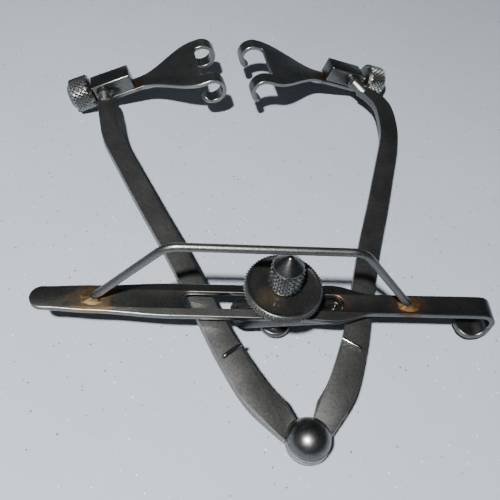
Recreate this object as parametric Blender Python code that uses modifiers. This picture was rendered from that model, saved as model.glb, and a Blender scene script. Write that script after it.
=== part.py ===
"""Self-retaining lid retractor: V arms, spreader block, slotted cross bar, swivel blades.

Frame: metres, +Z up. The origin is the centre of the post's foot on the plane that the
instrument rests on, +Y runs from the pivot end towards the blades, and +X to the right.
"""
import math

import bmesh
import bpy
from mathutils import Matrix, Vector

MM = 0.001

# ---- driving dimensions, in millimetres ---------------------------------------------
SEAT_GAP = 0.2            # between two pieces that touch face to face
RUN_GAP = 0.15            # radial, between a shaft and its hole

# V of the two arms
POST_FROM_PIVOT = 20.4    # post axis to pivot axis, along Y
POST_OFFSET = 1.3         # post stands this far left of the line that halves the V
ARM_TOP = 5.5             # height of the arms' upper face over the table
ARM_THICK = 1.4
BOSS_RADIUS = 3.05
STEM_RADIUS = 1.2
STEM_PROUD = 0.7          # stem stands this far out of the swivel block
STEM_SINK = 0.3           # stem starts this far inside the arm's tip
NECK_SLIM = 0.96          # neck that joins the stem to the arm, share of the stem's radius
NECK_REACH = 0.6          # neck starts this share of the way along the arm's last step
THROAT_LOW = (1.1, 2.6)   # arms are cut back to this distance out and along, beside the boss
THROAT_HIGH = (2.6, 6.3)  # and to this one, where their full width starts
# centre line of an arm from the pivot, distance out from the halving line and along it, with its width
ARM_LINE = (
    (0.0, 0.0, 4.2),
    (3.1, 3.2, 4.3),
    (6.3, 7.2, 4.4),
    (9.4, 13.6, 4.0),
    (11.3, 18.4, 3.7),
    (13.9, 25.8, 3.6),
    (16.6, 33.1, 3.6),
    (20.1, 41.6, 3.6),
    (24.4, 52.6, 3.55),
    (27.0, 59.6, 3.5),
    (28.0, 65.8, 3.5),
)
# each tip is bent by hand: its last points, the root of the stem, the stem's heading (degrees
# outwards), and how far the stem stands above the middle of the arm
TIP = {
    "left": {
        "line": ((28.5, 69.6, 3.2), (28.8, 71.2, 2.5)),
        "root": (28.9, 72.1),
        "heading": 7.0,
        "rise": 0.45,
    },
    "right": {
        "line": ((27.9, 69.9, 3.3), (26.4, 73.0, 2.9), (24.6, 75.0, 2.5)),
        "root": (23.24, 76.1),
        "heading": -6.0,
        "rise": 1.0,
    },
}

# pivot
PIVOT_SHANK = 1.3
PIVOT_HEAD_RADIUS = 2.95
PIVOT_HEAD_HEIGHT = 2.3
PIVOT_HEAD_RIM = 15.0     # degrees, slope left at the rim of the dome
PIVOT_WASHER = 0.25
PIVOT_NUT_RADIUS = 1.95
PIVOT_NUT_HEIGHT = 0.7
PIN_END_SHARE = 0.6       # rounding of a pin's end, share of its radius

# wire pins
SUTURE_PIN_RADIUS = 0.3
SUTURE_PIN_ROOT = (10.4, 12.7)
SUTURE_PIN_END = (7.4, 14.9)
SUTURE_PIN_RISE = 0.2
GUIDE_PIN_RADIUS = 0.32
GUIDE_PIN_SPACING = 15.4
GUIDE_PIN_DROP = 2.1      # below the spreader block

# post and spreader block
FOOT_RADIUS = 1.7         # the post stands on this
FLANGE_RADIUS = 2.5
FLANGE_THICK = 1.1
NECK_RADIUS = 1.5
NECK_LENGTH = 1.7         # between the flange and the spreader block
POST_RADIUS = 1.0
POST_CHAMFER = 0.2
FLANGE_CHAMFER = 0.15
POST_END_GAP = 0.4        # post's end to the bottom of the knob's bore
BLOCK_LIFT = 0.2          # middle of the spreader block over the middle of the arms
BLOCK_LENGTH = 17.4
BLOCK_WIDTH = 4.2
BLOCK_THICK = 1.95
COLLAR_RADIUS = 2.3

# cross bar, along its own axis from the post
BAR_TURN = -4.4           # degrees, right end towards the pivot
BAR_CLEARANCE = 1.4       # bar's underside over the arms
BAR_THICK = 0.9
BAR_LEFT = -36.6
BAR_WIDTHS = (            # distance along the bar and full width there
    (-34.7, 3.7),
    (-27.8, 4.4),
    (-16.2, 5.7),
    (2.0, 5.9),
    (8.4, 6.5),
    (14.6, 3.5),
    (20.0, 3.5),
    (31.6, 3.6),
)
SLOT_LEFT = -14.8
SLOT_RIGHT = 9.9
SLOT_WIDTH = 2.8
BUSH_LENGTH = 3.8
BUSH_PROUD = 0.1          # bush stands this far out of the slot, above and below
HOOK_START = 31.6
HOOK_RADIUS = 2.4
HOOK_PAD_LENGTH = 2.4
HOOK_PAD_WIDTH = 5.0
HOOK_PAD_FALL = 0.5       # pad's end rises back towards the bar by this much

# bridge wire over the cross bar
WIRE_RADIUS = 0.6
WIRE_RISE = 12.6          # centre of the straight run over the bar's upper face
WIRE_FEET = (-27.6, 20.0)
WIRE_BENDS = (-16.8, 10.0)
WIRE_BEND_RADIUS = 2.2
FILLET_RADIUS = 1.7
FILLET_HEIGHT = 0.7
FILLET_COLLAR = 0.35      # metal left around the wire at the top of the fillet
FILLET_LENGTHEN = 1.35    # fillet's length along the bar over its width

# clamping disc and top knob
DISC_WASHER_RADIUS = 3.7
DISC_WASHER_THICK = 0.4
HUB_RADIUS = 3.4
HUB_HEIGHT = 2.0
DISC_RADIUS = 5.85
DISC_THICK = 1.55
DISC_DISH = 0.35
DISH_CLEARANCE = 0.5      # flat floor of the dish outside the knob
DISH_SLOPE = (1.3, 0.8)   # foot and top of the dish's slope, in from the rim
RIM_CHAMFER = 0.2
KNOB_RADIUS = 2.5
KNOB_HEIGHT = 4.5
KNOB_CONE = 2.1
KNOB_SHOULDER = (0.25, 0.15)   # in and up, from the knurl to the foot of the cone
KNOB_TIP = (0.35, 0.1)    # radius and depth of the flat on the cone
KNOB_BORE_DEPTH = 3.2

# swivel blocks, thumbscrews and blades
SWIVEL_TILT = 19.0        # degrees, blade end up
SWIVEL_STANDOFF = 0.9     # root of the stem to the block
SWIVEL_LENGTH = 7.9
SWIVEL_WIDTH = 3.65
SWIVEL_HEIGHT = 3.4
SWIVEL_HOLE_INSET = 2.0   # stem hole from the knob end
SWIVEL_EDGE = 0.18
THUMB_RADIUS = 3.3
THUMB_LENGTH = 4.6
THUMB_SHANK = 0.7
THUMB_FACE_CHAMFER = 0.6
THUMB_END_CHAMFER = 0.9
THUMB_BACKED_OFF = {"left": 0.0, "right": 1.3}   # how far each screw is undone
BLADE_THICK = 0.8
BLADE_WIDTH = 14.2
BLADE_ROOT_WIDTH = 3.4
BLADE_FLARE_START = 1.2   # beyond the swivel block
BLADE_ROOT_STEPS = 5      # rows under the block
BLADE_FLARE_STEPS = 14    # rows from the block to the notch
BLADE_REACH = 19.4        # stem axis to the notch between the fingers
FINGER_WIDTH = 2.7
FINGER_SHOULDER = 1.2     # straight start of a finger
FINGER_RADIUS = 2.4       # middle of the curled strip
FINGER_STEP = 12.0        # degrees between rows of the curl
FINGER_CURL = {"left": 245.0, "right": 185.0}

ROUND = 32                # segments of a turned piece

# ---- derived places -------------------------------------------------------------------
PIVOT = Vector((POST_OFFSET, -POST_FROM_PIVOT, 0.0)) * MM
ARM_BASE = ARM_TOP - ARM_THICK
ARM_MID = ARM_TOP - ARM_THICK / 2
LAP = (ARM_THICK - SEAT_GAP) / 2
BLOCK_BASE = ARM_MID - BLOCK_THICK / 2 + BLOCK_LIFT
BLOCK_TOP = BLOCK_BASE + BLOCK_THICK
FLANGE_TOP = BLOCK_BASE - NECK_LENGTH
FLANGE_BASE = FLANGE_TOP - FLANGE_THICK
GUIDE_PIN_BOTTOM = BLOCK_BASE - GUIDE_PIN_DROP
BAR_BASE = ARM_TOP + BAR_CLEARANCE
BAR_TOP = BAR_BASE + BAR_THICK
WIRE_HEIGHT = BAR_TOP + WIRE_RISE
BUSH_BASE = BAR_BASE - BUSH_PROUD
BUSH_TOP = BAR_TOP + BUSH_PROUD
WASHER_BASE = BUSH_TOP + SEAT_GAP
DISC_BASE = WASHER_BASE + DISC_WASHER_THICK + SEAT_GAP
DISC_TOP = DISC_BASE + HUB_HEIGHT + DISC_THICK
KNOB_BASE = DISC_TOP + SEAT_GAP
SIDES = {"left": -1.0, "right": 1.0}


# ---- materials ------------------------------------------------------------------------
def metal(name, colour, roughness):
    material = bpy.data.materials.new(name)
    material.use_nodes = True
    shader = material.node_tree.nodes["Principled BSDF"]
    shader.inputs["Base Color"].default_value = (*colour, 1.0)
    shader.inputs["Roughness"].default_value = roughness
    shader.inputs["Metallic"].default_value = 1.0
    return material


FINISHES = {
    "satin": ((0.36, 0.35, 0.34), 0.38),
    "polished": ((0.48, 0.47, 0.46), 0.18),
    "knurled": ((0.55, 0.54, 0.53), 0.35),
    "heat_tinted": ((0.42, 0.30, 0.16), 0.5),
}


# ---- scene helpers --------------------------------------------------------------------
def clear_scene():
    for old in list(bpy.data.objects):
        bpy.data.objects.remove(old)


def new_collection(name):
    collection = bpy.data.collections.new(name)
    bpy.context.scene.collection.children.link(collection)
    return collection


def put(obj, collection):
    for owner in list(obj.users_collection):
        owner.objects.unlink(obj)
    collection.objects.link(obj)
    return obj


def finish(obj, look):
    colour, roughness = FINISHES[look]
    obj.data.materials.clear()
    obj.data.materials.append(metal(obj.name, colour, roughness))
    return put(obj, PARTS)


def smooth(obj, angle=40.0):
    obj.data.shade_smooth()
    obj.data.set_sharp_from_angle(angle=math.radians(angle))
    return obj


def set_parent(obj, empty):
    obj.parent = empty
    obj.matrix_parent_inverse = Matrix.Identity(4)
    return obj


def add_empty(name, location, turn=0.0, parent=None):
    empty = bpy.data.objects.new(name, None)
    empty.location = location
    empty.rotation_euler = (0.0, 0.0, math.radians(turn))
    PARTS.objects.link(empty)
    empty.parent = parent
    return empty


def from_bmesh(name, bm):
    mesh = bpy.data.meshes.new(name)
    bm.to_mesh(mesh)
    bm.free()
    obj = bpy.data.objects.new(name, mesh)
    bpy.context.scene.collection.objects.link(obj)
    return obj


def curve_to_mesh(curve_object):
    bpy.context.view_layer.update()
    graph = bpy.context.evaluated_depsgraph_get()
    mesh = bpy.data.meshes.new_from_object(curve_object.evaluated_get(graph))
    bm = bmesh.new()
    bm.from_mesh(mesh)
    bmesh.ops.remove_doubles(bm, verts=bm.verts, dist=0.000001)
    bm.to_mesh(mesh)
    bm.free()
    name = curve_object.name
    curve = curve_object.data
    place = curve_object.matrix_world.copy()
    bpy.data.objects.remove(curve_object)
    bpy.data.curves.remove(curve)
    obj = bpy.data.objects.new(name, mesh)
    obj.matrix_world = place
    bpy.context.scene.collection.objects.link(obj)
    return obj


def bevel(obj, width, segments=1):
    modifier = obj.modifiers.new("Bevel", "BEVEL")
    modifier.width = width * MM
    modifier.segments = segments
    modifier.limit_method = "ANGLE"
    modifier.angle_limit = math.radians(40)
    return obj


def boolean(obj, other, operation):
    modifier = obj.modifiers.new(operation.title(), "BOOLEAN")
    modifier.operation = operation
    modifier.solver = "EXACT"
    modifier.object = other
    other.hide_render = True
    other.display_type = "WIRE"
    put(other, CUTTERS)
    return obj


# ---- shape helpers, all sizes in millimetres ------------------------------------------
def flat_outline(name, points, base, top):
    """A closed flat outline, extruded between two heights."""
    curve = bpy.data.curves.new(name, "CURVE")
    curve.dimensions = "2D"
    curve.fill_mode = "BOTH"
    curve.extrude = (top - base) / 2 * MM
    spline = curve.splines.new("POLY")
    spline.points.add(len(points) - 1)
    for point, (x, y) in zip(spline.points, points):
        point.co = (x * MM, y * MM, 0.0, 1.0)
    spline.use_cyclic_u = True
    obj = bpy.data.objects.new(name, curve)
    obj.location = (0.0, 0.0, (base + top) / 2 * MM)
    bpy.context.scene.collection.objects.link(obj)
    return curve_to_mesh(obj)


def cylinder(name, radius, base, top, segments=ROUND):
    bm = bmesh.new()
    bmesh.ops.create_cone(
        bm, cap_ends=True, segments=segments,
        radius1=radius * MM, radius2=radius * MM, depth=(top - base) * MM,
        matrix=Matrix.Rotation(math.pi / segments, 4, "Z"),
    )
    bmesh.ops.translate(bm, verts=bm.verts, vec=(0.0, 0.0, (base + top) / 2 * MM))
    return from_bmesh(name, bm)


def rod(name, start, end, radius, segments=12):
    """A plain round rod between two points."""
    start = Vector(start) * MM
    end = Vector(end) * MM
    axis = end - start
    bm = bmesh.new()
    bmesh.ops.create_cone(
        bm, cap_ends=True, segments=segments,
        radius1=radius * MM, radius2=radius * MM, depth=axis.length,
        matrix=Matrix.Rotation(math.pi / segments, 4, "Z"),
    )
    turn = axis.to_track_quat("Z", "Y").to_matrix().to_4x4()
    bmesh.ops.transform(bm, verts=bm.verts, matrix=Matrix.Translation((start + end) / 2) @ turn)
    return from_bmesh(name, bm)


def turned(name, profile, segments=ROUND):
    """A turned piece: profile of (radius, height) from top to bottom, closed on the axis or as a ring."""
    bm = bmesh.new()
    verts = [bm.verts.new((radius * MM, 0.0, height * MM)) for radius, height in profile]
    for first, second in zip(verts, verts[1:]):
        bm.edges.new((first, second))
    if profile[0][0] > 0.0:
        bm.edges.new((verts[-1], verts[0]))
    obj = from_bmesh(name, bm)
    modifier = obj.modifiers.new("Screw", "SCREW")
    modifier.axis = "Z"
    modifier.angle = math.tau
    modifier.steps = segments
    modifier.render_steps = segments
    modifier.use_merge_vertices = True
    modifier.merge_threshold = 0.000005
    return obj


def rounded_slot_points(length, width, centre=(0.0, 0.0), steps=8):
    """Outline of a slot with round ends, long side along X."""
    radius = width / 2
    reach = length / 2 - radius
    points = []
    for side, start in ((1, -90), (-1, 90)):
        for step in range(steps + 1):
            angle = math.radians(start + 180 * step / steps)
            points.append((centre[0] + side * reach + radius * math.cos(angle),
                           centre[1] + radius * math.sin(angle)))
    return points


def smooth_line(points, steps):
    """Catmull-Rom curve through points of any dimension."""
    padded = [points[0]] + list(points) + [points[-1]]
    out = []
    for a, b, c, d in zip(padded, padded[1:], padded[2:], padded[3:]):
        for step in range(steps):
            t = step / steps
            out.append(tuple(
                0.5 * (2 * q + (r - p) * t + (2 * p - 5 * q + 4 * r - s) * t * t
                       + (3 * q - p - 3 * r + s) * t ** 3)
                for p, q, r, s in zip(a, b, c, d)
            ))
    out.append(tuple(points[-1]))
    return out


def ribbon(name, rows, thickness, skip=()):
    """A plate of even thickness on a grid of points, without the columns in skip after their row."""
    bm = bmesh.new()
    grid = [[bm.verts.new(Vector(point) * MM) for point in row] for row in rows]
    for index, (row, following) in enumerate(zip(grid, grid[1:])):
        for column in range(len(row) - 1):
            if any(index >= first and column in columns for first, columns in skip):
                continue
            bm.faces.new((row[column], row[column + 1], following[column + 1], following[column]))
    loose = [vert for vert in bm.verts if not vert.link_faces]
    bmesh.ops.delete(bm, geom=loose, context="VERTS")
    bmesh.ops.recalc_face_normals(bm, faces=bm.faces)
    obj = from_bmesh(name, bm)
    modifier = obj.modifiers.new("Solidify", "SOLIDIFY")
    modifier.thickness = thickness * MM
    modifier.offset = 0.0
    modifier.use_even_offset = True
    return obj


# ---- arms and pivot -------------------------------------------------------------------
def arm_outline(side):
    sign = SIDES[side]
    line = smooth_line(list(ARM_LINE) + list(TIP[side]["line"]), 4)
    near, far = [], []
    for index, (out, along, width) in enumerate(line):
        before = line[max(index - 1, 0)]
        after = line[min(index + 1, len(line) - 1)]
        way = Vector((after[0] - before[0], after[1] - before[1])).normalized()
        across = Vector((way.y, -way.x)) * width / 2
        near.append((sign * (out - across.x), along - across.y))
        far.append((sign * (out + across.x), along + across.y))
    return near + far[::-1]


def stem_ends(side):
    """Root and free end of the round stem, from the pivot, in the frame of the instrument."""
    sign = SIDES[side]
    out, along = TIP[side]["root"]
    heading = math.radians(TIP[side]["heading"])
    way = Vector((sign * math.sin(heading), math.cos(heading), 0.0))
    root = Vector((sign * out, along, ARM_MID + TIP[side]["rise"]))
    return root, way


def throat_outline():
    """Gap between the arms above the boss, in the frame of the pivot."""
    half = (THROAT_LOW, THROAT_HIGH)
    return list(half) + [(-out, along) for out, along in reversed(half)]


def make_arm(side, empty):
    low_lap = side == "left"
    name = side + "_arm"
    arm = flat_outline(name, arm_outline(side), ARM_BASE, ARM_TOP)
    throat = flat_outline(side + "_throat_cut", throat_outline(), ARM_BASE - 1, ARM_TOP + 1)
    boolean(arm, throat, "DIFFERENCE")
    boolean(arm, cylinder(side + "_boss", BOSS_RADIUS, ARM_BASE, ARM_TOP), "UNION")
    if low_lap:
        lap = cylinder("lap_cut_left", BOSS_RADIUS + SEAT_GAP, ARM_BASE + LAP, ARM_TOP + 1)
    else:
        lap = cylinder("lap_cut_right", BOSS_RADIUS + SEAT_GAP, ARM_BASE - 1, ARM_TOP - LAP)
    boolean(arm, lap, "DIFFERENCE")
    hole = cylinder(side + "_pivot_hole", PIVOT_SHANK + RUN_GAP, ARM_BASE - 1, ARM_TOP + 1)
    boolean(arm, hole, "DIFFERENCE")
    root, way = stem_ends(side)
    end = root + way * (SWIVEL_STANDOFF + SWIVEL_WIDTH + STEM_PROUD)
    stem = rod(side + "_stem", root - way * STEM_SINK, end, STEM_RADIUS, 16)
    sign = SIDES[side]
    out, along, _ = TIP[side]["line"][-2]
    foot = Vector((sign * out, along, ARM_MID))
    out, along, _ = TIP[side]["line"][-1]
    foot = foot.lerp(Vector((sign * out, along, ARM_MID)), NECK_REACH)
    neck = rod(side + "_stem_neck", foot, root + way * 0.1, STEM_RADIUS * NECK_SLIM, 16)
    boolean(arm, neck, "UNION")
    boolean(arm, stem, "UNION")
    for piece in (arm, throat, bpy.data.objects[side + "_boss"], lap, hole, neck, stem):
        set_parent(piece, empty)
    smooth(arm)
    return finish(arm, "satin")


def make_suture_pin(side, empty):
    sign = SIDES[side]
    low = ARM_TOP + SEAT_GAP + SUTURE_PIN_RADIUS
    start = (sign * SUTURE_PIN_ROOT[0], SUTURE_PIN_ROOT[1], low)
    end = (sign * SUTURE_PIN_END[0], SUTURE_PIN_END[1], low + SUTURE_PIN_RISE)
    pin = rod(side + "_suture_pin", start, end, SUTURE_PIN_RADIUS)
    bevel(pin, SUTURE_PIN_RADIUS * PIN_END_SHARE, 2)
    set_parent(pin, empty)
    return finish(smooth(pin), "polished")


def make_pivot(empty):
    washer_base = ARM_TOP + SEAT_GAP
    head_base = washer_base + PIVOT_WASHER + SEAT_GAP
    nut_top = ARM_BASE - SEAT_GAP
    nut_base = nut_top - PIVOT_NUT_HEIGHT
    steps = 8
    rim = math.radians(PIVOT_HEAD_RIM)
    dome = [(0.0, head_base + PIVOT_HEAD_HEIGHT)]
    for step in range(1, steps + 1):
        angle = math.pi / 2 + (rim - math.pi / 2) * step / steps
        height = head_base + PIVOT_HEAD_HEIGHT * (math.sin(angle) - math.sin(rim)) / (1 - math.sin(rim))
        dome.append((PIVOT_HEAD_RADIUS * math.cos(angle) / math.cos(rim), height))
    profile = dome + [(PIVOT_SHANK, head_base), (PIVOT_SHANK, nut_base), (0.0, nut_base)]
    screw = turned("pivot_screw", profile)
    washer = turned("pivot_washer", (
        (PIVOT_HEAD_RADIUS + 0.1, washer_base + PIVOT_WASHER),
        (PIVOT_HEAD_RADIUS + 0.1, washer_base),
        (PIVOT_SHANK + RUN_GAP, washer_base),
        (PIVOT_SHANK + RUN_GAP, washer_base + PIVOT_WASHER),
    ))
    nut = turned("pivot_nut", (
        (PIVOT_NUT_RADIUS, nut_top),
        (PIVOT_NUT_RADIUS, nut_base),
        (PIVOT_SHANK + RUN_GAP, nut_base),
        (PIVOT_SHANK + RUN_GAP, nut_top),
    ))
    for piece, look in ((screw, "polished"), (washer, "satin"), (nut, "satin")):
        set_parent(piece, empty)
        finish(smooth(piece), look)


# ---- spreader block and post ----------------------------------------------------------
def make_spreader(empty):
    middle = POST_OFFSET
    block = flat_outline("spreader_block",
                         rounded_slot_points(BLOCK_LENGTH, BLOCK_WIDTH, (middle, 0.0)), BLOCK_BASE, BLOCK_TOP)
    post_hole = cylinder("block_post_hole", POST_RADIUS + RUN_GAP, BLOCK_BASE - 1, BLOCK_TOP + 1)
    boolean(block, post_hole, "DIFFERENCE")
    set_parent(post_hole, empty)
    for side, sign in SIDES.items():
        x = middle + sign * GUIDE_PIN_SPACING / 2
        hole = rod(side + "_guide_hole", (x, 0.0, BLOCK_BASE - 1), (x, 0.0, BLOCK_TOP + 1),
                   GUIDE_PIN_RADIUS + RUN_GAP, 16)
        boolean(block, hole, "DIFFERENCE")
        pin = rod(side + "_guide_pin", (x, 0.0, GUIDE_PIN_BOTTOM), (x, 0.0, BAR_BASE - SEAT_GAP),
                  GUIDE_PIN_RADIUS)
        bevel(pin, GUIDE_PIN_RADIUS * PIN_END_SHARE, 2)
        set_parent(hole, empty)
        set_parent(pin, empty)
        finish(smooth(pin), "polished")
    set_parent(block, empty)
    finish(smooth(block), "satin")

    post_top = KNOB_BASE + KNOB_BORE_DEPTH - POST_END_GAP
    post = turned("centre_post", (
        (0.0, post_top),
        (POST_RADIUS - POST_CHAMFER, post_top),
        (POST_RADIUS, post_top - POST_CHAMFER),
        (POST_RADIUS, BLOCK_BASE - SEAT_GAP),
        (NECK_RADIUS, BLOCK_BASE - SEAT_GAP),
        (NECK_RADIUS, FLANGE_TOP),
        (FLANGE_RADIUS - FLANGE_CHAMFER, FLANGE_TOP),
        (FLANGE_RADIUS, FLANGE_TOP - FLANGE_CHAMFER),
        (FLANGE_RADIUS, FLANGE_BASE),
        (FOOT_RADIUS, FLANGE_BASE),
        (FOOT_RADIUS, 0.0),
        (0.0, 0.0),
    ))
    set_parent(post, empty)
    finish(smooth(post), "satin")

    collar_base = BLOCK_TOP + SEAT_GAP
    collar_top = BUSH_BASE - SEAT_GAP
    collar = turned("post_collar", (
        (COLLAR_RADIUS, collar_top),
        (COLLAR_RADIUS, collar_base),
        (POST_RADIUS + RUN_GAP, collar_base),
        (POST_RADIUS + RUN_GAP, collar_top),
    ))
    set_parent(collar, empty)
    finish(smooth(collar), "satin")

    washer = turned("disc_washer", (
        (DISC_WASHER_RADIUS, WASHER_BASE + DISC_WASHER_THICK),
        (DISC_WASHER_RADIUS, WASHER_BASE),
        (POST_RADIUS + RUN_GAP, WASHER_BASE),
        (POST_RADIUS + RUN_GAP, WASHER_BASE + DISC_WASHER_THICK),
    ))
    set_parent(washer, empty)
    finish(smooth(washer), "satin")


def make_clamp(empty):
    bore = POST_RADIUS + RUN_GAP
    disc = turned("lock_disc", (
        (KNOB_RADIUS + DISH_CLEARANCE, DISC_TOP - DISC_DISH),
        (DISC_RADIUS - DISH_SLOPE[0], DISC_TOP - DISC_DISH),
        (DISC_RADIUS - DISH_SLOPE[1], DISC_TOP),
        (DISC_RADIUS - RIM_CHAMFER, DISC_TOP),
        (DISC_RADIUS, DISC_TOP - RIM_CHAMFER),
        (DISC_RADIUS, DISC_BASE + HUB_HEIGHT + RIM_CHAMFER),
        (DISC_RADIUS - RIM_CHAMFER, DISC_BASE + HUB_HEIGHT),
        (HUB_RADIUS, DISC_BASE + HUB_HEIGHT),
        (HUB_RADIUS, DISC_BASE),
        (bore, DISC_BASE),
        (bore, DISC_TOP - DISC_DISH),
    ), 48)
    knob = turned("top_knob", (
        (0.0, KNOB_BASE + KNOB_HEIGHT + KNOB_CONE),
        (KNOB_TIP[0], KNOB_BASE + KNOB_HEIGHT + KNOB_CONE - KNOB_TIP[1]),
        (KNOB_RADIUS - KNOB_SHOULDER[0], KNOB_BASE + KNOB_HEIGHT + KNOB_SHOULDER[1]),
        (KNOB_RADIUS, KNOB_BASE + KNOB_HEIGHT),
        (KNOB_RADIUS, KNOB_BASE + RIM_CHAMFER),
        (KNOB_RADIUS - RIM_CHAMFER, KNOB_BASE),
        (bore, KNOB_BASE),
        (bore, KNOB_BASE + KNOB_BORE_DEPTH),
        (0.0, KNOB_BASE + KNOB_BORE_DEPTH),
    ))
    for piece in (disc, knob):
        set_parent(piece, empty)
        finish(smooth(piece), "knurled")


# ---- cross bar, bush and bridge wire ---------------------------------------------------
def bar_half_width(x):
    left_radius = BAR_WIDTHS[0][1] / 2
    if x <= BAR_WIDTHS[0][0]:
        inside = BAR_LEFT + left_radius - x
        return math.sqrt(max(left_radius ** 2 - inside ** 2, 0.0))
    for (x0, w0), (x1, w1) in zip(BAR_WIDTHS, BAR_WIDTHS[1:]):
        if x <= x1:
            t = (x - x0) / (x1 - x0)
            ease = t * t * (3 - 2 * t)
            return (w0 + (w1 - w0) * ease) / 2
    return BAR_WIDTHS[-1][1] / 2


def bar_rows():
    """Rows of points across the bar and round its hook, on the middle of its thickness."""
    middle = BAR_TOP - BAR_THICK / 2
    left_radius = BAR_WIDTHS[0][1] / 2
    stations = []
    for step in range(1, 7):
        x = BAR_LEFT + left_radius * (1 - math.cos(math.radians(90 * step / 6)))
        stations.append((x, middle, bar_half_width(x)))
    count = 44
    start = BAR_LEFT + left_radius
    for step in range(1, count + 1):
        x = start + (HOOK_START - start) * step / count
        stations.append((x, middle, bar_half_width(x)))
    base_width = BAR_WIDTHS[-1][1] / 2
    arc = 10
    for step in range(1, arc + 1):
        angle = math.radians(180 * step / arc)
        stations.append((HOOK_START + HOOK_RADIUS * math.sin(angle),
                         middle - HOOK_RADIUS * (1 - math.cos(angle)), base_width))
    pad = 8
    for step in range(1, pad + 1):
        t = step / pad
        swell = base_width + (HOOK_PAD_WIDTH / 2 - base_width) * math.sin(min(t * 1.6, 1.0) * math.pi / 2)
        if t > 0.5:
            swell *= math.sqrt(max(1 - ((t - 0.5) / 0.5) ** 2, 0.03))
        stations.append((HOOK_START - HOOK_PAD_LENGTH * t,
                         middle - 2 * HOOK_RADIUS + HOOK_PAD_FALL * t * t, swell))
    columns = (-1.0, -0.5, 0.0, 0.5, 1.0)
    return [[(x, half * column, z) for column in columns] for x, z, half in stations]


def make_bar(empty):
    bar = ribbon("cross_bar", bar_rows(), BAR_THICK)
    slot_length = SLOT_RIGHT - SLOT_LEFT
    slot_middle = (SLOT_RIGHT + SLOT_LEFT) / 2
    slot = flat_outline("slot_cut", rounded_slot_points(slot_length, SLOT_WIDTH, (slot_middle, 0.0)),
                        BAR_BASE - 1, BAR_TOP + 1)
    boolean(bar, slot, "DIFFERENCE")
    set_parent(slot, empty)
    set_parent(bar, empty)
    finish(smooth(bar), "satin")

    bush_width = SLOT_WIDTH - 2 * RUN_GAP
    bush = flat_outline("slot_bush", rounded_slot_points(BUSH_LENGTH, bush_width, (0.0, 0.0)),
                        BUSH_BASE, BUSH_TOP)
    bore = cylinder("bush_bore", POST_RADIUS + RUN_GAP, BUSH_BASE - 1, BUSH_TOP + 1, 24)
    boolean(bush, bore, "DIFFERENCE")
    set_parent(bore, empty)
    set_parent(bush, empty)
    finish(smooth(bush), "satin")


def wire_points():
    """Route of the bridge wire in the upright plane of the bar, with rounded bends."""
    foot = BAR_TOP + SEAT_GAP
    corners = [(WIRE_FEET[0], foot), (WIRE_BENDS[0], WIRE_HEIGHT),
               (WIRE_BENDS[1], WIRE_HEIGHT), (WIRE_FEET[1], foot)]
    points = [Vector(corners[0])]
    for before, corner, after in zip(corners, corners[1:], corners[2:]):
        corner = Vector(corner)
        back = (Vector(before) - corner).normalized()
        ahead = (Vector(after) - corner).normalized()
        half = back.angle(ahead) / 2
        reach = WIRE_BEND_RADIUS / math.tan(half)
        centre = corner + (back + ahead).normalized() * WIRE_BEND_RADIUS / math.sin(half)
        first = corner + back * reach
        last = corner + ahead * reach
        start = math.atan2(first.y - centre.y, first.x - centre.x)
        turn = math.atan2(last.y - centre.y, last.x - centre.x) - start
        turn = (turn + math.pi) % math.tau - math.pi
        for step in range(7):
            angle = start + turn * step / 6
            points.append(centre + WIRE_BEND_RADIUS * Vector((math.cos(angle), math.sin(angle))))
    points.append(Vector(corners[-1]))
    return points


def make_wire(empty):
    curve = bpy.data.curves.new("bridge_wire", "CURVE")
    curve.dimensions = "3D"
    curve.bevel_depth = WIRE_RADIUS * MM
    curve.bevel_resolution = 3
    curve.use_fill_caps = True
    route = wire_points()
    spline = curve.splines.new("POLY")
    spline.points.add(len(route) - 1)
    for point, place in zip(spline.points, route):
        point.co = (place.x * MM, 0.0, place.y * MM, 1.0)
    wire = bpy.data.objects.new("bridge_wire", curve)
    bpy.context.scene.collection.objects.link(wire)
    wire = curve_to_mesh(wire)
    # the feet are filed flat to sit on the bar
    near, far = WIRE_FEET[0] - FILLET_RADIUS, WIRE_FEET[1] + FILLET_RADIUS
    across = 2 * WIRE_RADIUS
    floor = flat_outline("wire_foot_cut", ((near, -across), (far, -across), (far, across), (near, across)),
                         BAR_BASE, BAR_TOP + SEAT_GAP)
    boolean(wire, floor, "DIFFERENCE")
    set_parent(floor, empty)
    set_parent(wire, empty)
    finish(smooth(wire), "satin")
    for side, foot in zip(("left", "right"), WIRE_FEET):
        lean = 1 if side == "left" else -1
        rise = (WIRE_HEIGHT - BAR_TOP) / abs(WIRE_BENDS[0] - WIRE_FEET[0])
        hole_radius = WIRE_RADIUS + RUN_GAP
        base = BAR_TOP + SEAT_GAP
        fillet = turned(side + "_braze_fillet", (
            (0.0, base + FILLET_HEIGHT),
            (hole_radius + FILLET_COLLAR, base + FILLET_HEIGHT),
            (FILLET_RADIUS - 0.3, base + 0.3 * FILLET_HEIGHT),
            (FILLET_RADIUS, base),
            (0.0, base),
        ), 24)
        fillet.scale = (FILLET_LENGTHEN, 1.0, 1.0)
        fillet.location = (foot * MM, 0.0, 0.0)
        reach = 2 * FILLET_RADIUS
        cut = rod(side + "_fillet_hole",
                  (foot - lean * reach, 0.0, base - rise * reach),
                  (foot + lean * reach, 0.0, base + rise * reach), hole_radius, 20)
        boolean(fillet, cut, "DIFFERENCE")
        set_parent(cut, empty)
        set_parent(fillet, empty)
        finish(smooth(fillet), "heat_tinted")


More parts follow.
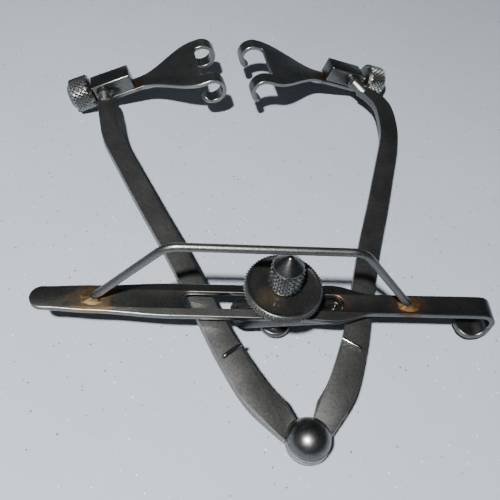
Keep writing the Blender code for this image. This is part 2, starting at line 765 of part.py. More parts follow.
# ---- swivel blocks, thumbscrews and blades ---------------------------------------------
def blade_profile(curl):
    """Middle line of the blade from the stem axis, and the row at which the fingers part.

    The strip lies under the swivel block, runs straight on to the notch, and each finger then
    curls down and back under it.
    """
    tilt = math.radians(SWIVEL_TILT)
    under = SWIVEL_HEIGHT / 2 + SEAT_GAP + BLADE_THICK / 2
    way = Vector((math.cos(tilt), math.sin(tilt)))
    up = Vector((-math.sin(tilt), math.cos(tilt)))
    start = -up * under - way * SWIVEL_HOLE_INSET
    flare = start + way * (SWIVEL_LENGTH + BLADE_FLARE_START)
    line = [start + (flare - start) * step / BLADE_ROOT_STEPS for step in range(BLADE_ROOT_STEPS + 1)]
    run = BLADE_REACH - SWIVEL_LENGTH + SWIVEL_HOLE_INSET - BLADE_FLARE_START
    for step in range(1, BLADE_FLARE_STEPS + 1):
        line.append(flare + way * run * step / BLADE_FLARE_STEPS)
    notch = len(line) - 1
    shoulder = line[-1] + way * FINGER_SHOULDER
    line.append(shoulder)
    hub = shoulder - up * FINGER_RADIUS
    steps = int(curl / FINGER_STEP)
    for step in range(1, steps + 1):
        angle = math.radians(90 - curl * step / steps)
        line.append(hub + FINGER_RADIUS * (way * math.cos(angle) + up * math.sin(angle)))
    return line, notch


def blade_rows(side):
    line, notch = blade_profile(FINGER_CURL[side])
    flare_from = BLADE_ROOT_STEPS
    split = 1 - 2 * FINGER_WIDTH / BLADE_WIDTH
    columns = (-1.0, -(1 + split) / 2, -split, -split / 2, 0.0, split / 2, split, (1 + split) / 2, 1.0)
    rows = []
    last = len(line) - 1
    for index, place in enumerate(line):
        if index <= flare_from:
            half = BLADE_ROOT_WIDTH / 2
        else:
            t = min((index - flare_from) / (notch - flare_from), 1.0)
            ease = t * t * (3 - 2 * t)
            half = (BLADE_ROOT_WIDTH + (BLADE_WIDTH - BLADE_ROOT_WIDTH) * ease) / 2
        row = []
        for column in columns:
            v = half * column
            if index > notch:
                # the finger narrows to a round tip about its own middle
                t = (index - notch) / (last - notch)
                keep = 1.0 if t < 0.82 else math.sqrt(max(1 - ((t - 0.82) / 0.18) ** 2, 0.05))
                middle = math.copysign(half * (1 + split) / 2, column) if column else 0.0
                v = middle + (v - middle) * keep
            row.append((place.x, v, place.y))
        rows.append(row)
    return rows, notch


def make_swivel(side, arm_empty):
    sign = SIDES[side]
    root, way = stem_ends(side)
    middle = root + way * (SWIVEL_STANDOFF + SWIVEL_WIDTH / 2)
    # local frame: X along the blade from the stem, Y along the stem, Z up
    empty = add_empty(side + "_swivel_axis", middle * MM, 0.0, arm_empty)
    inward = -sign
    heading = math.atan2(way.y, way.x) - math.pi / 2
    empty.rotation_euler = (0.0, 0.0, heading)
    tilt = math.radians(SWIVEL_TILT)

    bm = bmesh.new()
    bmesh.ops.create_cube(bm, size=1.0)
    bmesh.ops.scale(bm, verts=bm.verts, vec=(SWIVEL_LENGTH * MM, SWIVEL_WIDTH * MM, SWIVEL_HEIGHT * MM))
    bmesh.ops.translate(bm, verts=bm.verts, vec=((SWIVEL_LENGTH / 2 - SWIVEL_HOLE_INSET) * MM, 0.0, 0.0))
    mirror = Matrix.Diagonal((inward, 1.0, 1.0, 1.0))
    lean = Matrix.Rotation(-tilt, 4, "Y")
    bmesh.ops.transform(bm, verts=bm.verts, matrix=mirror @ lean)
    bmesh.ops.recalc_face_normals(bm, faces=bm.faces)
    block = bevel(from_bmesh(side + "_swivel_block", bm), SWIVEL_EDGE, 2)
    stem_hole = rod(side + "_stem_hole", (0.0, -SWIVEL_WIDTH, 0.0), (0.0, SWIVEL_WIDTH, 0.0),
                    STEM_RADIUS + RUN_GAP, 20)
    boolean(block, stem_hole, "DIFFERENCE")
    along = Vector((inward * math.cos(tilt), 0.0, math.sin(tilt)))
    screw_hole = rod(side + "_screw_hole", -along * (SWIVEL_HOLE_INSET + 1.0), Vector((0.0, 0.0, 0.0)),
                     THUMB_SHANK + RUN_GAP, 20)
    boolean(block, screw_hole, "DIFFERENCE")

    face = SWIVEL_HOLE_INSET + SEAT_GAP + THUMB_BACKED_OFF[side]
    tip = STEM_RADIUS + RUN_GAP + THUMB_BACKED_OFF[side]
    screw = turned(side + "_thumbscrew", (
        (0.0, -tip),
        (THUMB_SHANK, -tip),
        (THUMB_SHANK, -face),
        (THUMB_RADIUS - THUMB_FACE_CHAMFER, -face),
        (THUMB_RADIUS, -face - THUMB_FACE_CHAMFER),
        (THUMB_RADIUS, -face - THUMB_LENGTH + THUMB_END_CHAMFER),
        (THUMB_RADIUS - THUMB_END_CHAMFER, -face - THUMB_LENGTH),
        (0.0, -face - THUMB_LENGTH),
    ))
    screw.rotation_mode = "QUATERNION"
    screw.rotation_quaternion = along.to_track_quat("Z", "Y")

    rows, notch = blade_rows(side)
    rows = [[(inward * x, y, z) for x, y, z in row] for row in rows]
    blade = ribbon(side + "_blade", rows, BLADE_THICK, skip=((notch, (2, 3, 4, 5)),))
    for piece, look in ((block, "satin"), (screw, "knurled"), (blade, "satin"),
                        (stem_hole, None), (screw_hole, None)):
        set_parent(piece, empty)
        if look:
            finish(smooth(piece), look)


# ---- build -----------------------------------------------------------------------------
clear_scene()
PARTS = new_collection("lid_retractor")
CUTTERS = new_collection("cutters")

pivot_axis = add_empty("pivot_axis", PIVOT)
for arm_side in SIDES:
    make_arm(arm_side, pivot_axis)
    make_suture_pin(arm_side, pivot_axis)
    make_swivel(arm_side, pivot_axis)
make_pivot(pivot_axis)

post_axis = add_empty("post_axis", (0.0, 0.0, 0.0))
make_spreader(post_axis)
make_clamp(post_axis)

bar_axis = add_empty("bar_axis", (0.0, 0.0, 0.0), BAR_TURN)
make_bar(bar_axis)
make_wire(bar_axis)
bpy.context.view_layer.update()
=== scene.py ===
"""Looks for the self-retaining lid retractor: steel pieces, knurls, finishes, floor and light.

Frame: metres, +Z up, origin under the post, +Y from the pivot towards the blades.
"""

import math
from functools import partial

import bmesh
import bpy
from bpy.props import FloatProperty, FloatVectorProperty, IntProperty, PointerProperty
from mathutils import Matrix, Vector


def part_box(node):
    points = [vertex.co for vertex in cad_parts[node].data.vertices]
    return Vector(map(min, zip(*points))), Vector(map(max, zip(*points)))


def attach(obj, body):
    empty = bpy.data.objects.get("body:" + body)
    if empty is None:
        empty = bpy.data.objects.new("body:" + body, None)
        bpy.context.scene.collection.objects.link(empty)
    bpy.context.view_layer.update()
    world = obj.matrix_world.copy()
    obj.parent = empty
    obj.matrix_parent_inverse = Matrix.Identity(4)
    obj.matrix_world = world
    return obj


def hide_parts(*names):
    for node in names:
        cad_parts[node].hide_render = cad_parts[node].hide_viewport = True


bl_info = {
    "name": "Lid Retractor Looks",
    "version": (1, 0, 0),
    "blender": (4, 5, 0),
    "location": "View3D > Sidebar > Retractor",
    "description": "Steel pieces, knurls, finishes and studio for the lid retractor",
    "category": "Object",
}

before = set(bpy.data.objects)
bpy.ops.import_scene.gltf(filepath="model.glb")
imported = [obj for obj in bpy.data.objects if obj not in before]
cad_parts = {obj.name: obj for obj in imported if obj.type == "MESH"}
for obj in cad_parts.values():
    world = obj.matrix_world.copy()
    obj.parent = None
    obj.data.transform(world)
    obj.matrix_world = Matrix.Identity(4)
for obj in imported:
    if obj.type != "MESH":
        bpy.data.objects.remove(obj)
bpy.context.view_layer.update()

MM = 0.001

# ---- measures of the instrument, in millimetres ----
PIVOT = Vector((1.3, -20.4, 0.0))
ARM_TOP = 5.5
SUTURE_PIN_RADIUS = 0.3
SUTURE_PIN_BEND = 0.5
SUTURE_PIN_INSET = 0.25  # how far its ends stand in from those of the CAD piece
SUTURE_PIN_RISE = (0.26, 0.5)  # root and tip over the arm's top
SUTURE_PIN_ROOT = ((-0.1, -0.45), (0.0, -0.1), (0.35, 0.0))  # along the pin, and up
WASHER_THICK = 0.45
DOME_RADIUS = 2.95
DOME_HEIGHT = 2.3
DOME_RIM = 0.1
DOME_START = 12  # degrees up its circle at which the dome leaves the rim
DOME_STEPS = 16
PIVOT_SHANK = 1.3  # radius
PIVOT_HOLE = 1.45  # radius
PIVOT_BOTTOM = 3.2
NUT_RADIUS = 1.95
NUT_TOP = 3.9
GUIDE_PIN_RADIUS = 0.32
TURNED_EDGES = {"centre_post": 0.1, "post_collar": 0.06, "disc_washer": 0.06}
BUSH_EDGE = 0.05
BAR_TURN = math.radians(-4.4)
BAR_THICK = 0.9
BAR_TOP = 7.8
BAR_LEFT = -36.6
BAR_WIDTHS = (
    (-34.7, 3.7), (-27.8, 4.4), (-16.2, 5.7), (2.0, 5.9),
    (8.4, 6.5), (14.6, 3.5), (20.0, 3.5), (31.6, 3.6),
)
SLOT = (-14.8, 9.9, 2.8)  # left end, right end, width
HOOK_START = 31.6
HOOK_RADIUS = 2.4
HOOK_PAD = (2.4, 5.0)  # length and width
PAD_START = 0.55  # share of the roll after which the pad begins
PAD_SWELL = 1.7  # how quickly it widens
PAD_ROUND = 0.62  # share of its length at which its round end begins
BAR_STEPS = 110
HOOK_SLICES = 30
WIRE_FEET = (-27.6, 20.0)
WIRE_BENDS = (-16.8, 10.0)
WIRE_HEIGHT = 20.4
WIRE_BEND_RADIUS = 1.9
WIRE_RADIUS = 0.6
WIRE_LIFT = 0.02  # of the wire's ends over the bar
BRAZE_SIZE = (1.75, 1.35, 0.85)
BRAZE_DRAW = 0.55  # how much the lump narrows and leans towards its top
BAR_STAINS = (  # along the bar, across it, radius, amount, kind
    (WIRE_FEET[0], -0.6, 4.2, 0.50, "straw"), (WIRE_FEET[0] + 0.4, -0.2, 2.4, 0.55, "rust"),
    (WIRE_FEET[1] + 0.2, 0.3, 3.4, 0.80, "rust"), (SLOT[1] - 0.6, 0.2, 1.9, 0.75, "rust"),
    (SLOT[0] + 1.6, 0.6, 1.2, 0.5, "rust"),
)
STACK_BORE = 1.15  # radius of the bore in disc and knob
DISC_TOP = 12.25
DISC_BASE = 8.7
DISC_RADIUS = 5.85
DISC_HUB = (3.4, 2.0)  # radius and height
DISC_DISH = ((STACK_BORE, 0.22), (2.6, 0.22), (4.9, 0.12), (5.2, 0.0))  # radius and depth
DISC_CHAMFER = 0.12
DISC_FINENESS = 1.55
DISC_STAINS = (((-2.6, -1.8, DISC_TOP), 2.2, 0.35, "straw"), ((3.4, 1.6, DISC_TOP), 1.6, 0.30, "rust"))
KNOB_BASE = 12.45
KNOB_RADIUS = 2.5
KNOB_HEIGHT = 4.5
KNOB_CONE = 2.1
KNOB_TIP = (0.3, 0.05)  # radius and depth of the blunt tip
KNOB_SHOULDER = (0.32, 0.12)  # inset and height of the cone's foot
KNOB_BORE_DEPTH = 3.2
SWIVEL_LEAN = math.radians(19.0)
SWIVEL_SIZE = (7.9, 3.65, 3.4)
SWIVEL_INSET = 2.0
SWIVEL_EDGE = 0.07
SWIVEL_PLACES = {
    "left": (Vector((-27.932, 54.405, 5.25)), math.radians(7.0), 1.0),
    "right": (Vector((24.255, 58.410, 5.8)), math.radians(6.0), -1.0),
}
THUMB_BACKED_OFF = {"left": 0.0, "right": 1.3}
THUMB_FACE = 2.2  # from the stem's middle to the head
THUMB_TIP = 1.35  # from the stem's middle to the screw's end
THUMB_RADIUS = 3.3
THUMB_LENGTH = 4.6
THUMB_SHANK = 0.7  # radius
BLADE_THICK = 0.8
BLADE_ROOT = 3.4
BLADE_WIDTH = 14.2
BLADE_FLARE = 9.1  # start of the flare, from the outer end of the strip
BLADE_NOTCH = 21.4  # bottom of the notch
FINGER_WIDTH = 2.7
FINGER_SHOULDER = 1.2
FINGER_RADIUS = 2.4
FINGER_ROOT = 0.7  # radius in the corner of the notch
FINGER_SLICES = 44
BLADE_GAP = 0.19  # between block and strip
JUNCTION = (0.4, -1.9)  # beyond the block's end and up, where blade and block meet
FINGER_CURL = {"left": 245.0, "right": 185.0}
SIDES = ("left", "right")

# ---- light and camera ----
LIGHTS = (  # name, place, target, size, power, colour
    ("key", (-0.085, -0.104, 0.26), (0.0, 0.01, 0.0), 0.016, 2.6, (1.0, 0.995, 0.985)),
    ("fill", (-0.15, -0.75, 0.42), (0.0, 0.01, 0.0), 0.6, 0.10, (0.84, 0.92, 1.0)),
    ("side", (-0.8, -0.1, 0.3), (0.0, 0.01, 0.0), 0.5, 0.10, (0.90, 0.95, 1.0)),
    ("back", (0.0, 0.95, 0.17), (0.0, 0.02, 0.0), 0.4, 0.45, (0.95, 0.97, 1.0)),
)
SKY_UP = (0.05, 0.35, 0.93)
SKY_STOPS = ((0.40, (0.17, 0.20, 0.24, 1.0)), (0.92, (0.060, 0.062, 0.060, 1.0)))
SKY_STRENGTH = 0.42
VIEW_SIZE = 500.0  # side of the view, in the units of the next two
VIEW_FOCAL = 600.0
VIEW_PIVOT = (308.72861519, 439.72854534)  # the pivot in the view, from its top left
VIEW_DEPTH = 80.0  # from the camera to the pivot, in millimetres
VIEW_ANGLES = (51.87319127, 9.25624775, -13.80456173)  # elevation, roll and swing, degrees


# ---- settings a user would change ----
class RetractorSizes(bpy.types.PropertyGroup):
    edge_round: FloatProperty(
        name="Edge Round", description="Radius broken on the edges of flat pieces",
        default=0.00014, min=0.00002, max=0.0004, unit="LENGTH", precision=5)
    knurl_pitch: FloatProperty(
        name="Knurl Pitch", description="Width of one diamond of the knurl",
        default=0.00082, min=0.0003, max=0.001, unit="LENGTH", precision=5)
    knurl_depth: FloatProperty(
        name="Knurl Depth", description="Height of the knurl's points",
        default=0.00028, min=0.00005, max=0.0004, unit="LENGTH", precision=5)
    round_segments: IntProperty(
        name="Round Segments", description="Flats around a turned piece",
        default=96, min=24, max=160)
    floor_size: FloatProperty(
        name="Floor Size", description="Side of the square floor",
        default=1.6, min=0.4, max=4.0, unit="LENGTH")


class RetractorColours(bpy.types.PropertyGroup):
    satin: FloatVectorProperty(
        name="Satin Steel", description="Colour of the dull steel",
        default=(0.165, 0.167, 0.161), size=3, min=0.0, max=1.0, subtype="COLOR")
    polished: FloatVectorProperty(
        name="Polished Steel", description="Colour of pins, cone and dome",
        default=(0.20, 0.199, 0.195), size=3, min=0.0, max=1.0, subtype="COLOR")
    knurled: FloatVectorProperty(
        name="Knurled Steel", description="Colour of the knurled grips",
        default=(0.22, 0.216, 0.207), size=3, min=0.0, max=1.0, subtype="COLOR")
    straw: FloatVectorProperty(
        name="Straw Tint", description="Outer colour of the heat tint",
        default=(0.30, 0.185, 0.070), size=3, min=0.0, max=1.0, subtype="COLOR")
    rust: FloatVectorProperty(
        name="Rust", description="Colour of the stain in corners",
        default=(0.11, 0.055, 0.024), size=3, min=0.0, max=1.0, subtype="COLOR")
    floor: FloatVectorProperty(
        name="Floor", description="Colour of the floor",
        default=(0.325, 0.362, 0.408), size=3, min=0.0, max=1.0, subtype="COLOR")


# ---- node helpers ----
def group_shell(name, kind, ins, outs):
    """A node group with named sockets; ins and outs hold (name, socket type, default)."""
    group = bpy.data.node_groups.new(name, kind)
    for socket_name, socket_type, default in ins:
        socket = group.interface.new_socket(socket_name, in_out="INPUT", socket_type=socket_type)
        if default is not None:
            socket.default_value = default
    for socket_name, socket_type, _ in outs:
        group.interface.new_socket(socket_name, in_out="OUTPUT", socket_type=socket_type)
    return group, group.nodes.new("NodeGroupInput"), group.nodes.new("NodeGroupOutput")


def fill(tree, slot, value):
    """Links a socket to an input, or sets the input to a value."""
    if isinstance(value, bpy.types.NodeSocket):
        tree.links.new(value, slot)
    else:
        slot.default_value = value


def add_node(tree, kind, **inputs):
    """A node with its inputs filled by name, an underscore standing for a space."""
    node = tree.nodes.new(kind)
    for name, value in inputs.items():
        fill(tree, node.inputs[name.replace("_", " ")], value)
    return node


def maths(tree, operation, first, second=None, clamp=False):
    """A Math node; returns its output."""
    node = tree.nodes.new("ShaderNodeMath")
    node.operation = operation
    node.use_clamp = clamp
    for slot, value in zip(node.inputs, (first, second)):
        if value is not None:
            fill(tree, slot, value)
    return node.outputs[0]


def vector_maths(tree, operation, first, second):
    """A Vector Math node that gives a number; returns its output."""
    node = tree.nodes.new("ShaderNodeVectorMath")
    node.operation = operation
    fill(tree, node.inputs[0], first)
    fill(tree, node.inputs[1], second)
    return node.outputs["Value"]


def spread(tree, value, low, high, to_low=0.0, to_high=1.0):
    """A Map Range node; returns its output."""
    return add_node(tree, "ShaderNodeMapRange", Value=value, From_Min=low, From_Max=high,
                    To_Min=to_low, To_Max=to_high).outputs["Result"]


def noise(tree, vector, scale, detail=2.0, rough=0.5):
    """A Noise Texture node; returns its output."""
    return add_node(tree, "ShaderNodeTexNoise", Vector=vector, Scale=scale, Detail=detail,
                    Roughness=rough).outputs["Fac"]


def bumped(tree, shader, height, strength, distance):
    """Gives the shader a bump of that height."""
    bump = add_node(tree, "ShaderNodeBump", Height=height, Strength=strength, Distance=distance)
    tree.links.new(bump.outputs["Normal"], shader.inputs["Normal"])


def speck_mask(tree, vector, scale, rarity):
    """Mask that is 1 on a few small dots, one in some of the cells."""
    cells = add_node(tree, "ShaderNodeTexVoronoi", Vector=vector, Scale=scale)
    pick = add_node(tree, "ShaderNodeSeparateColor", Color=cells.outputs["Color"]).outputs["Red"]
    size = spread(tree, pick, rarity, 1.0, 0.06, 0.24)
    dot = maths(tree, "SUBTRACT", size, cells.outputs["Distance"])
    chosen = maths(tree, "GREATER_THAN", pick, rarity)
    return maths(tree, "MULTIPLY", spread(tree, dot, 0.0, 0.06), chosen)


def mixed(tree, factor, first, second):
    """A colour Mix node; first and second are sockets or colours."""
    node = tree.nodes.new("ShaderNodeMix")
    node.data_type = "RGBA"
    tree.links.new(factor, node.inputs["Factor"])
    for name, value in (("A", first), ("B", second)):
        socket = next(s for s in node.inputs if s.name == name and s.type == "RGBA")
        fill(tree, socket, value if isinstance(value, bpy.types.NodeSocket) else (*value, 1.0))
    return next(s for s in node.outputs if s.type == "RGBA")


# ---- shared effects ----
def blast_grain_group():
    """Fine grain and slow blotches of bead-blasted steel."""
    group, inside, out = group_shell(
        "Blast Grain", "ShaderNodeTree",
        (("Vector", "NodeSocketVector", None), ("Grain Scale", "NodeSocketFloat", 5200.0),
         ("Blotch Scale", "NodeSocketFloat", 160.0)),
        (("Grain", "NodeSocketFloat", None), ("Blotch", "NodeSocketFloat", None),
         ("Scratch", "NodeSocketFloat", None)))
    vector = inside.outputs["Vector"]
    fine = noise(group, vector, inside.outputs["Grain Scale"], 3.0, 0.6)
    slow = noise(group, vector, inside.outputs["Blotch Scale"], 4.0, 0.6)
    stretch = add_node(group, "ShaderNodeMapping", Vector=vector,
                       Scale=(6000.0, 260.0, 6000.0), Rotation=(0.0, 0.0, 0.4))
    scratch = noise(group, stretch.outputs[0], 1.0, 2.0, 0.5)
    group.links.new(spread(group, fine, 0.3, 0.7), out.inputs["Grain"])
    group.links.new(spread(group, slow, 0.3, 0.7), out.inputs["Blotch"])
    group.links.new(spread(group, scratch, 0.62, 0.76), out.inputs["Scratch"])
    return group


def edge_wear_and_sheen_group():
    """Mask that is 1 on worn edges, which also carry a painted highlight along each edge."""
    group, inside, out = group_shell(
        "Edge Wear And Sheen", "ShaderNodeTree",
        (("Vector", "NodeSocketVector", None), ("Radius", "NodeSocketFloat", 0.0003),
         ("Amount", "NodeSocketFloat", 1.0)),
        (("Mask", "NodeSocketFloat", None),))
    rounded_edge = add_node(group, "ShaderNodeBevel", Radius=inside.outputs["Radius"])
    rounded_edge.samples = 4
    geometry = group.nodes.new("ShaderNodeNewGeometry")
    along = vector_maths(group, "DOT_PRODUCT", rounded_edge.outputs["Normal"],
                         geometry.outputs["Normal"])
    off = maths(group, "SUBTRACT", 1.0, along)
    ragged = noise(group, inside.outputs["Vector"], 900.0, 3.0, 0.6)
    ragged = spread(group, ragged, 0.3, 0.7, 0.55, 1.0)
    edge = maths(group, "MULTIPLY", spread(group, off, 0.02, 0.16), ragged)
    strength = maths(group, "MULTIPLY", edge, inside.outputs["Amount"], clamp=True)
    group.links.new(strength, out.inputs["Mask"])
    return group


def stain_group():
    """Ragged round stain about a centre."""
    group, inside, out = group_shell(
        "Stain", "ShaderNodeTree",
        (("Vector", "NodeSocketVector", None), ("Centre", "NodeSocketVector", None),
         ("Radius", "NodeSocketFloat", 0.003), ("Amount", "NodeSocketFloat", 1.0)),
        (("Mask", "NodeSocketFloat", None),))
    distance = vector_maths(group, "DISTANCE", inside.outputs["Vector"], inside.outputs["Centre"])
    near = maths(group, "DIVIDE", distance, inside.outputs["Radius"])
    ragged = noise(group, inside.outputs["Vector"], 700.0, 5.0, 0.65)
    reach = maths(group, "ADD", near, spread(group, ragged, 0.3, 0.7, -0.45, 0.45))
    mask = spread(group, reach, 0.45, 1.05, 1.0, 0.0)
    strength = maths(group, "MULTIPLY", mask, inside.outputs["Amount"], clamp=True)
    group.links.new(strength, out.inputs["Mask"])
    return group


def turning_group():
    """Concentric tool marks about the Z axis of the vector."""
    group, inside, out = group_shell(
        "Turning Marks", "ShaderNodeTree",
        (("Vector", "NodeSocketVector", None), ("Pitch", "NodeSocketFloat", 0.00016)),
        (("Rings", "NodeSocketFloat", None),))
    split = add_node(group, "ShaderNodeSeparateXYZ", Vector=inside.outputs["Vector"])
    square = maths(group, "ADD", maths(group, "POWER", split.outputs["X"], 2.0),
                   maths(group, "POWER", split.outputs["Y"], 2.0))
    radius = maths(group, "SQRT", square)
    steps = maths(group, "DIVIDE", radius, inside.outputs["Pitch"])
    wave = maths(group, "SINE", maths(group, "MULTIPLY", steps, math.tau))
    combined = add_node(group, "ShaderNodeCombineXYZ", X=steps)
    uneven = noise(group, combined.outputs[0], 0.55, 4.0, 0.7)
    rings = maths(group, "ADD", maths(group, "MULTIPLY", wave, 0.25), uneven)
    group.links.new(rings, out.inputs["Rings"])
    return group


GROUPS = {}


def shared(name):
    """The group of that name, made when it is first asked for."""
    makers = {"grain": blast_grain_group, "wear_and_sheen": edge_wear_and_sheen_group,
              "stain": stain_group, "turning": turning_group, "knurl": knurl_tree}
    if name not in GROUPS:
        GROUPS[name] = makers[name]()
    return GROUPS[name]


def place_group(tree, name, **inputs):
    """A node of a shared group, its inputs filled by name."""
    node = tree.nodes.new("ShaderNodeGroup")
    node.node_tree = shared(name)
    for socket_name, value in inputs.items():
        fill(tree, node.inputs[socket_name.replace("_", " ")], value)
    return node


# ---- finishes ----
def new_material(name):
    """A material with its node tree, its shader and the place on the object."""
    material = bpy.data.materials.new(name)
    material.use_nodes = True
    tree = material.node_tree
    place = tree.nodes.new("ShaderNodeTexCoord").outputs["Object"]
    return material, tree, tree.nodes["Principled BSDF"], place


def steel(name, colour, rough, grain_scale=3200.0, grain_bump=0.16, wear_and_sheen=1.0,
          stains=(), turning=None):
    """Steel with grain, blotches, worn edges lightened partly as a painted edge highlight, and stains of
    (centre, radius, amount, kind).
    """
    material, tree, shader, place = new_material(name)
    shader.inputs["Metallic"].default_value = 1.0
    grain = place_group(tree, "grain", Vector=place, Grain_Scale=grain_scale)
    edge = place_group(tree, "wear_and_sheen", Vector=place, Amount=wear_and_sheen)
    dark = tuple(0.92 * c for c in colour)
    light = tuple(min(1.0, 1.07 * c) for c in colour)
    # Edge colour: real wear, and also a painted highlight along the edges.
    worn_and_sheen = tuple(min(1.0, 0.34 + 0.9 * c) for c in colour)
    base = mixed(tree, grain.outputs["Blotch"], dark, light)
    speckle = tree.nodes.new("ShaderNodeMix")
    speckle.data_type = "RGBA"
    speckle.blend_type = "MULTIPLY"
    speckle.inputs["Factor"].default_value = 1.0
    colours = [s for s in speckle.inputs if s.type == "RGBA"]
    tree.links.new(base, colours[0])
    shade = mixed(tree, grain.outputs["Grain"], (0.70, 0.70, 0.70), (1.16, 1.16, 1.16))
    tree.links.new(shade, colours[1])
    base = next(s for s in speckle.outputs if s.type == "RGBA")
    # Worn edges lightened: real wear plus a painted edge highlight.
    base = mixed(tree, edge.outputs["Mask"], base, worn_and_sheen)
    roughness = spread(tree, grain.outputs["Blotch"], 0.0, 1.0, rough - 0.02, rough + 0.03)
    for smooth, share in ((edge.outputs["Mask"], 0.10), (grain.outputs["Scratch"], 0.06)):
        roughness = maths(tree, "SUBTRACT", roughness, maths(tree, "MULTIPLY", smooth, share))
    tints = settings().colours
    for centre, radius, amount, kind in stains:
        stain = place_group(tree, "stain", Vector=place, Centre=Vector(centre) * MM,
                            Radius=radius * MM, Amount=amount)
        tint = tuple(tints.rust) if kind == "rust" else tuple(tints.straw)
        base = mixed(tree, stain.outputs["Mask"], base, tint)
        dulled = maths(tree, "MULTIPLY", stain.outputs["Mask"], 0.12)
        roughness = maths(tree, "ADD", roughness, dulled)
    tree.links.new(base, shader.inputs["Base Color"])
    tree.links.new(maths(tree, "MAXIMUM", roughness, 0.08), shader.inputs["Roughness"])
    height = grain.outputs["Grain"]
    if turning:
        marks = place_group(tree, "turning", Vector=place, Pitch=turning * MM)
        height = maths(tree, "ADD", maths(tree, "MULTIPLY", height, 0.3), marks.outputs["Rings"])
    bumped(tree, shader, height, grain_bump, 0.00004)
    return material


def settings():
    """The user's sizes and colours."""
    return bpy.context.scene.retractor


def toned(colour, share):
    """A colour made darker or lighter."""
    return tuple(share * c for c in colour)


# ---- mesh helpers ----
def placed(name, data):
    """A new object with the data, linked into the scene."""
    obj = bpy.data.objects.new(name, data)
    bpy.context.scene.collection.objects.link(obj)
    return obj


def link_mesh(name, bm):
    mesh = bpy.data.meshes.new(name)
    bm.to_mesh(mesh)
    bm.free()
    return placed(name, mesh)


def settle(obj):
    """Replaces an object with a plain mesh of what its modifiers make, its place held in the mesh."""
    bpy.context.view_layer.update()
    graph = bpy.context.evaluated_depsgraph_get()
    mesh = bpy.data.meshes.new_from_object(obj.evaluated_get(graph))
    mesh.transform(obj.matrix_world)
    name = obj.name
    bpy.data.objects.remove(obj)
    return placed(name, mesh)


def tidy_normals(obj):
    bm = bmesh.new()
    bm.from_mesh(obj.data)
    bmesh.ops.remove_doubles(bm, verts=bm.verts, dist=0.0000005)
    bmesh.ops.recalc_face_normals(bm, faces=bm.faces)
    bm.to_mesh(obj.data)
    bm.free()
    return obj


def shade(obj, angle=32.0):
    obj.data.shade_smooth()
    obj.data.set_sharp_from_angle(angle=math.radians(angle))
    return obj


def round_edges(obj, width, segments=3, angle=30.0):
    modifier = obj.modifiers.new("Edge Round", "BEVEL")
    modifier.width = width
    modifier.segments = segments
    modifier.limit_method = "ANGLE"
    modifier.angle_limit = math.radians(angle)
    modifier.use_clamp_overlap = True
    modifier.harden_normals = False
    return settle(obj)


def copy_of(node, name):
    """A merged copy of a CAD node with its flat faces joined."""
    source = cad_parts[node]
    bm = bmesh.new()
    bm.from_mesh(source.data)
    bmesh.ops.remove_doubles(bm, verts=bm.verts, dist=0.000001)
    bmesh.ops.dissolve_limit(
        bm, angle_limit=math.radians(0.6), use_dissolve_boundaries=False,
        verts=bm.verts, edges=bm.edges, delimit=set())
    return link_mesh(name, bm)


def lathe(name, profile, segments, base=None):
    """A turned piece from (radius, height) points, closed on the axis or as a ring, in millimetres."""
    bm = bmesh.new()
    rings = []
    for radius, height in profile:
        if radius <= 0.0:
            rings.append([bm.verts.new((0.0, 0.0, height * MM))])
            continue
        rings.append([
            bm.verts.new((radius * MM * math.cos(math.tau * i / segments),
                          radius * MM * math.sin(math.tau * i / segments), height * MM))
            for i in range(segments)
        ])
    pairs = list(zip(rings, rings[1:]))
    if len(rings[0]) > 1 and len(rings[-1]) > 1:
        pairs.append((rings[-1], rings[0]))
    for upper, lower in pairs:
        for i in range(segments):
            j = (i + 1) % segments
            if len(upper) == 1:
                bm.faces.new((upper[0], lower[i], lower[j]))
            elif len(lower) == 1:
                bm.faces.new((upper[i], lower[0], upper[j]))
            else:
                bm.faces.new((upper[i], lower[i], lower[j], upper[j]))
    bmesh.ops.recalc_face_normals(bm, faces=bm.faces)
    if base is not None:
        bmesh.ops.transform(bm, verts=bm.verts, matrix=base)
    return link_mesh(name, bm)


def softened(points, radius, steps=4, closed=False):
    """Points with each corner rounded."""
    count = len(points)
    out = []
    for index, point in enumerate(points):
        corner = Vector(point)
        if not closed and index in (0, count - 1):
            out.append(tuple(corner))
            continue
        before = Vector(points[index - 1]) - corner
        after = Vector(points[(index + 1) % count]) - corner
        reach = min(radius, before.length * 0.45, after.length * 0.45)
        start = corner + before.normalized() * reach
        end = corner + after.normalized() * reach
        for step in range(steps + 1):
            t = step / steps
            out.append(tuple(start * (1 - t) ** 2 + corner * 2 * t * (1 - t) + end * t * t))
    return out


def plate(name, outline, holes, thickness, edge):
    """A flat plate about z = 0 with rounded edges and with holes, in millimetres."""
    curve = bpy.data.curves.new(name, "CURVE")
    curve.dimensions = "2D"
    curve.fill_mode = "BOTH"
    curve.bevel_depth = edge
    curve.bevel_resolution = 2
    curve.offset = -edge
    curve.extrude = thickness / 2 * MM - edge
    for ring in (outline, *holes):
        spline = curve.splines.new("POLY")
        spline.points.add(len(ring) - 1)
        for point, (x, y) in zip(spline.points, ring):
            point.co = (x * MM, y * MM, 0.0, 1.0)
        spline.use_cyclic_u = True
    return tidy_normals(settle(placed(name, curve)))


def slice_across(obj, places):
    """Cuts the mesh across X at each place, so that it can bend there."""
    bm = bmesh.new()
    bm.from_mesh(obj.data)
    for x in places:
        bmesh.ops.bisect_plane(
            bm, geom=bm.verts[:] + bm.edges[:] + bm.faces[:], dist=0.0000001,
            plane_co=(x * MM, 0.0, 0.0), plane_no=(1.0, 0.0, 0.0))
    bm.to_mesh(obj.data)
    bm.free()


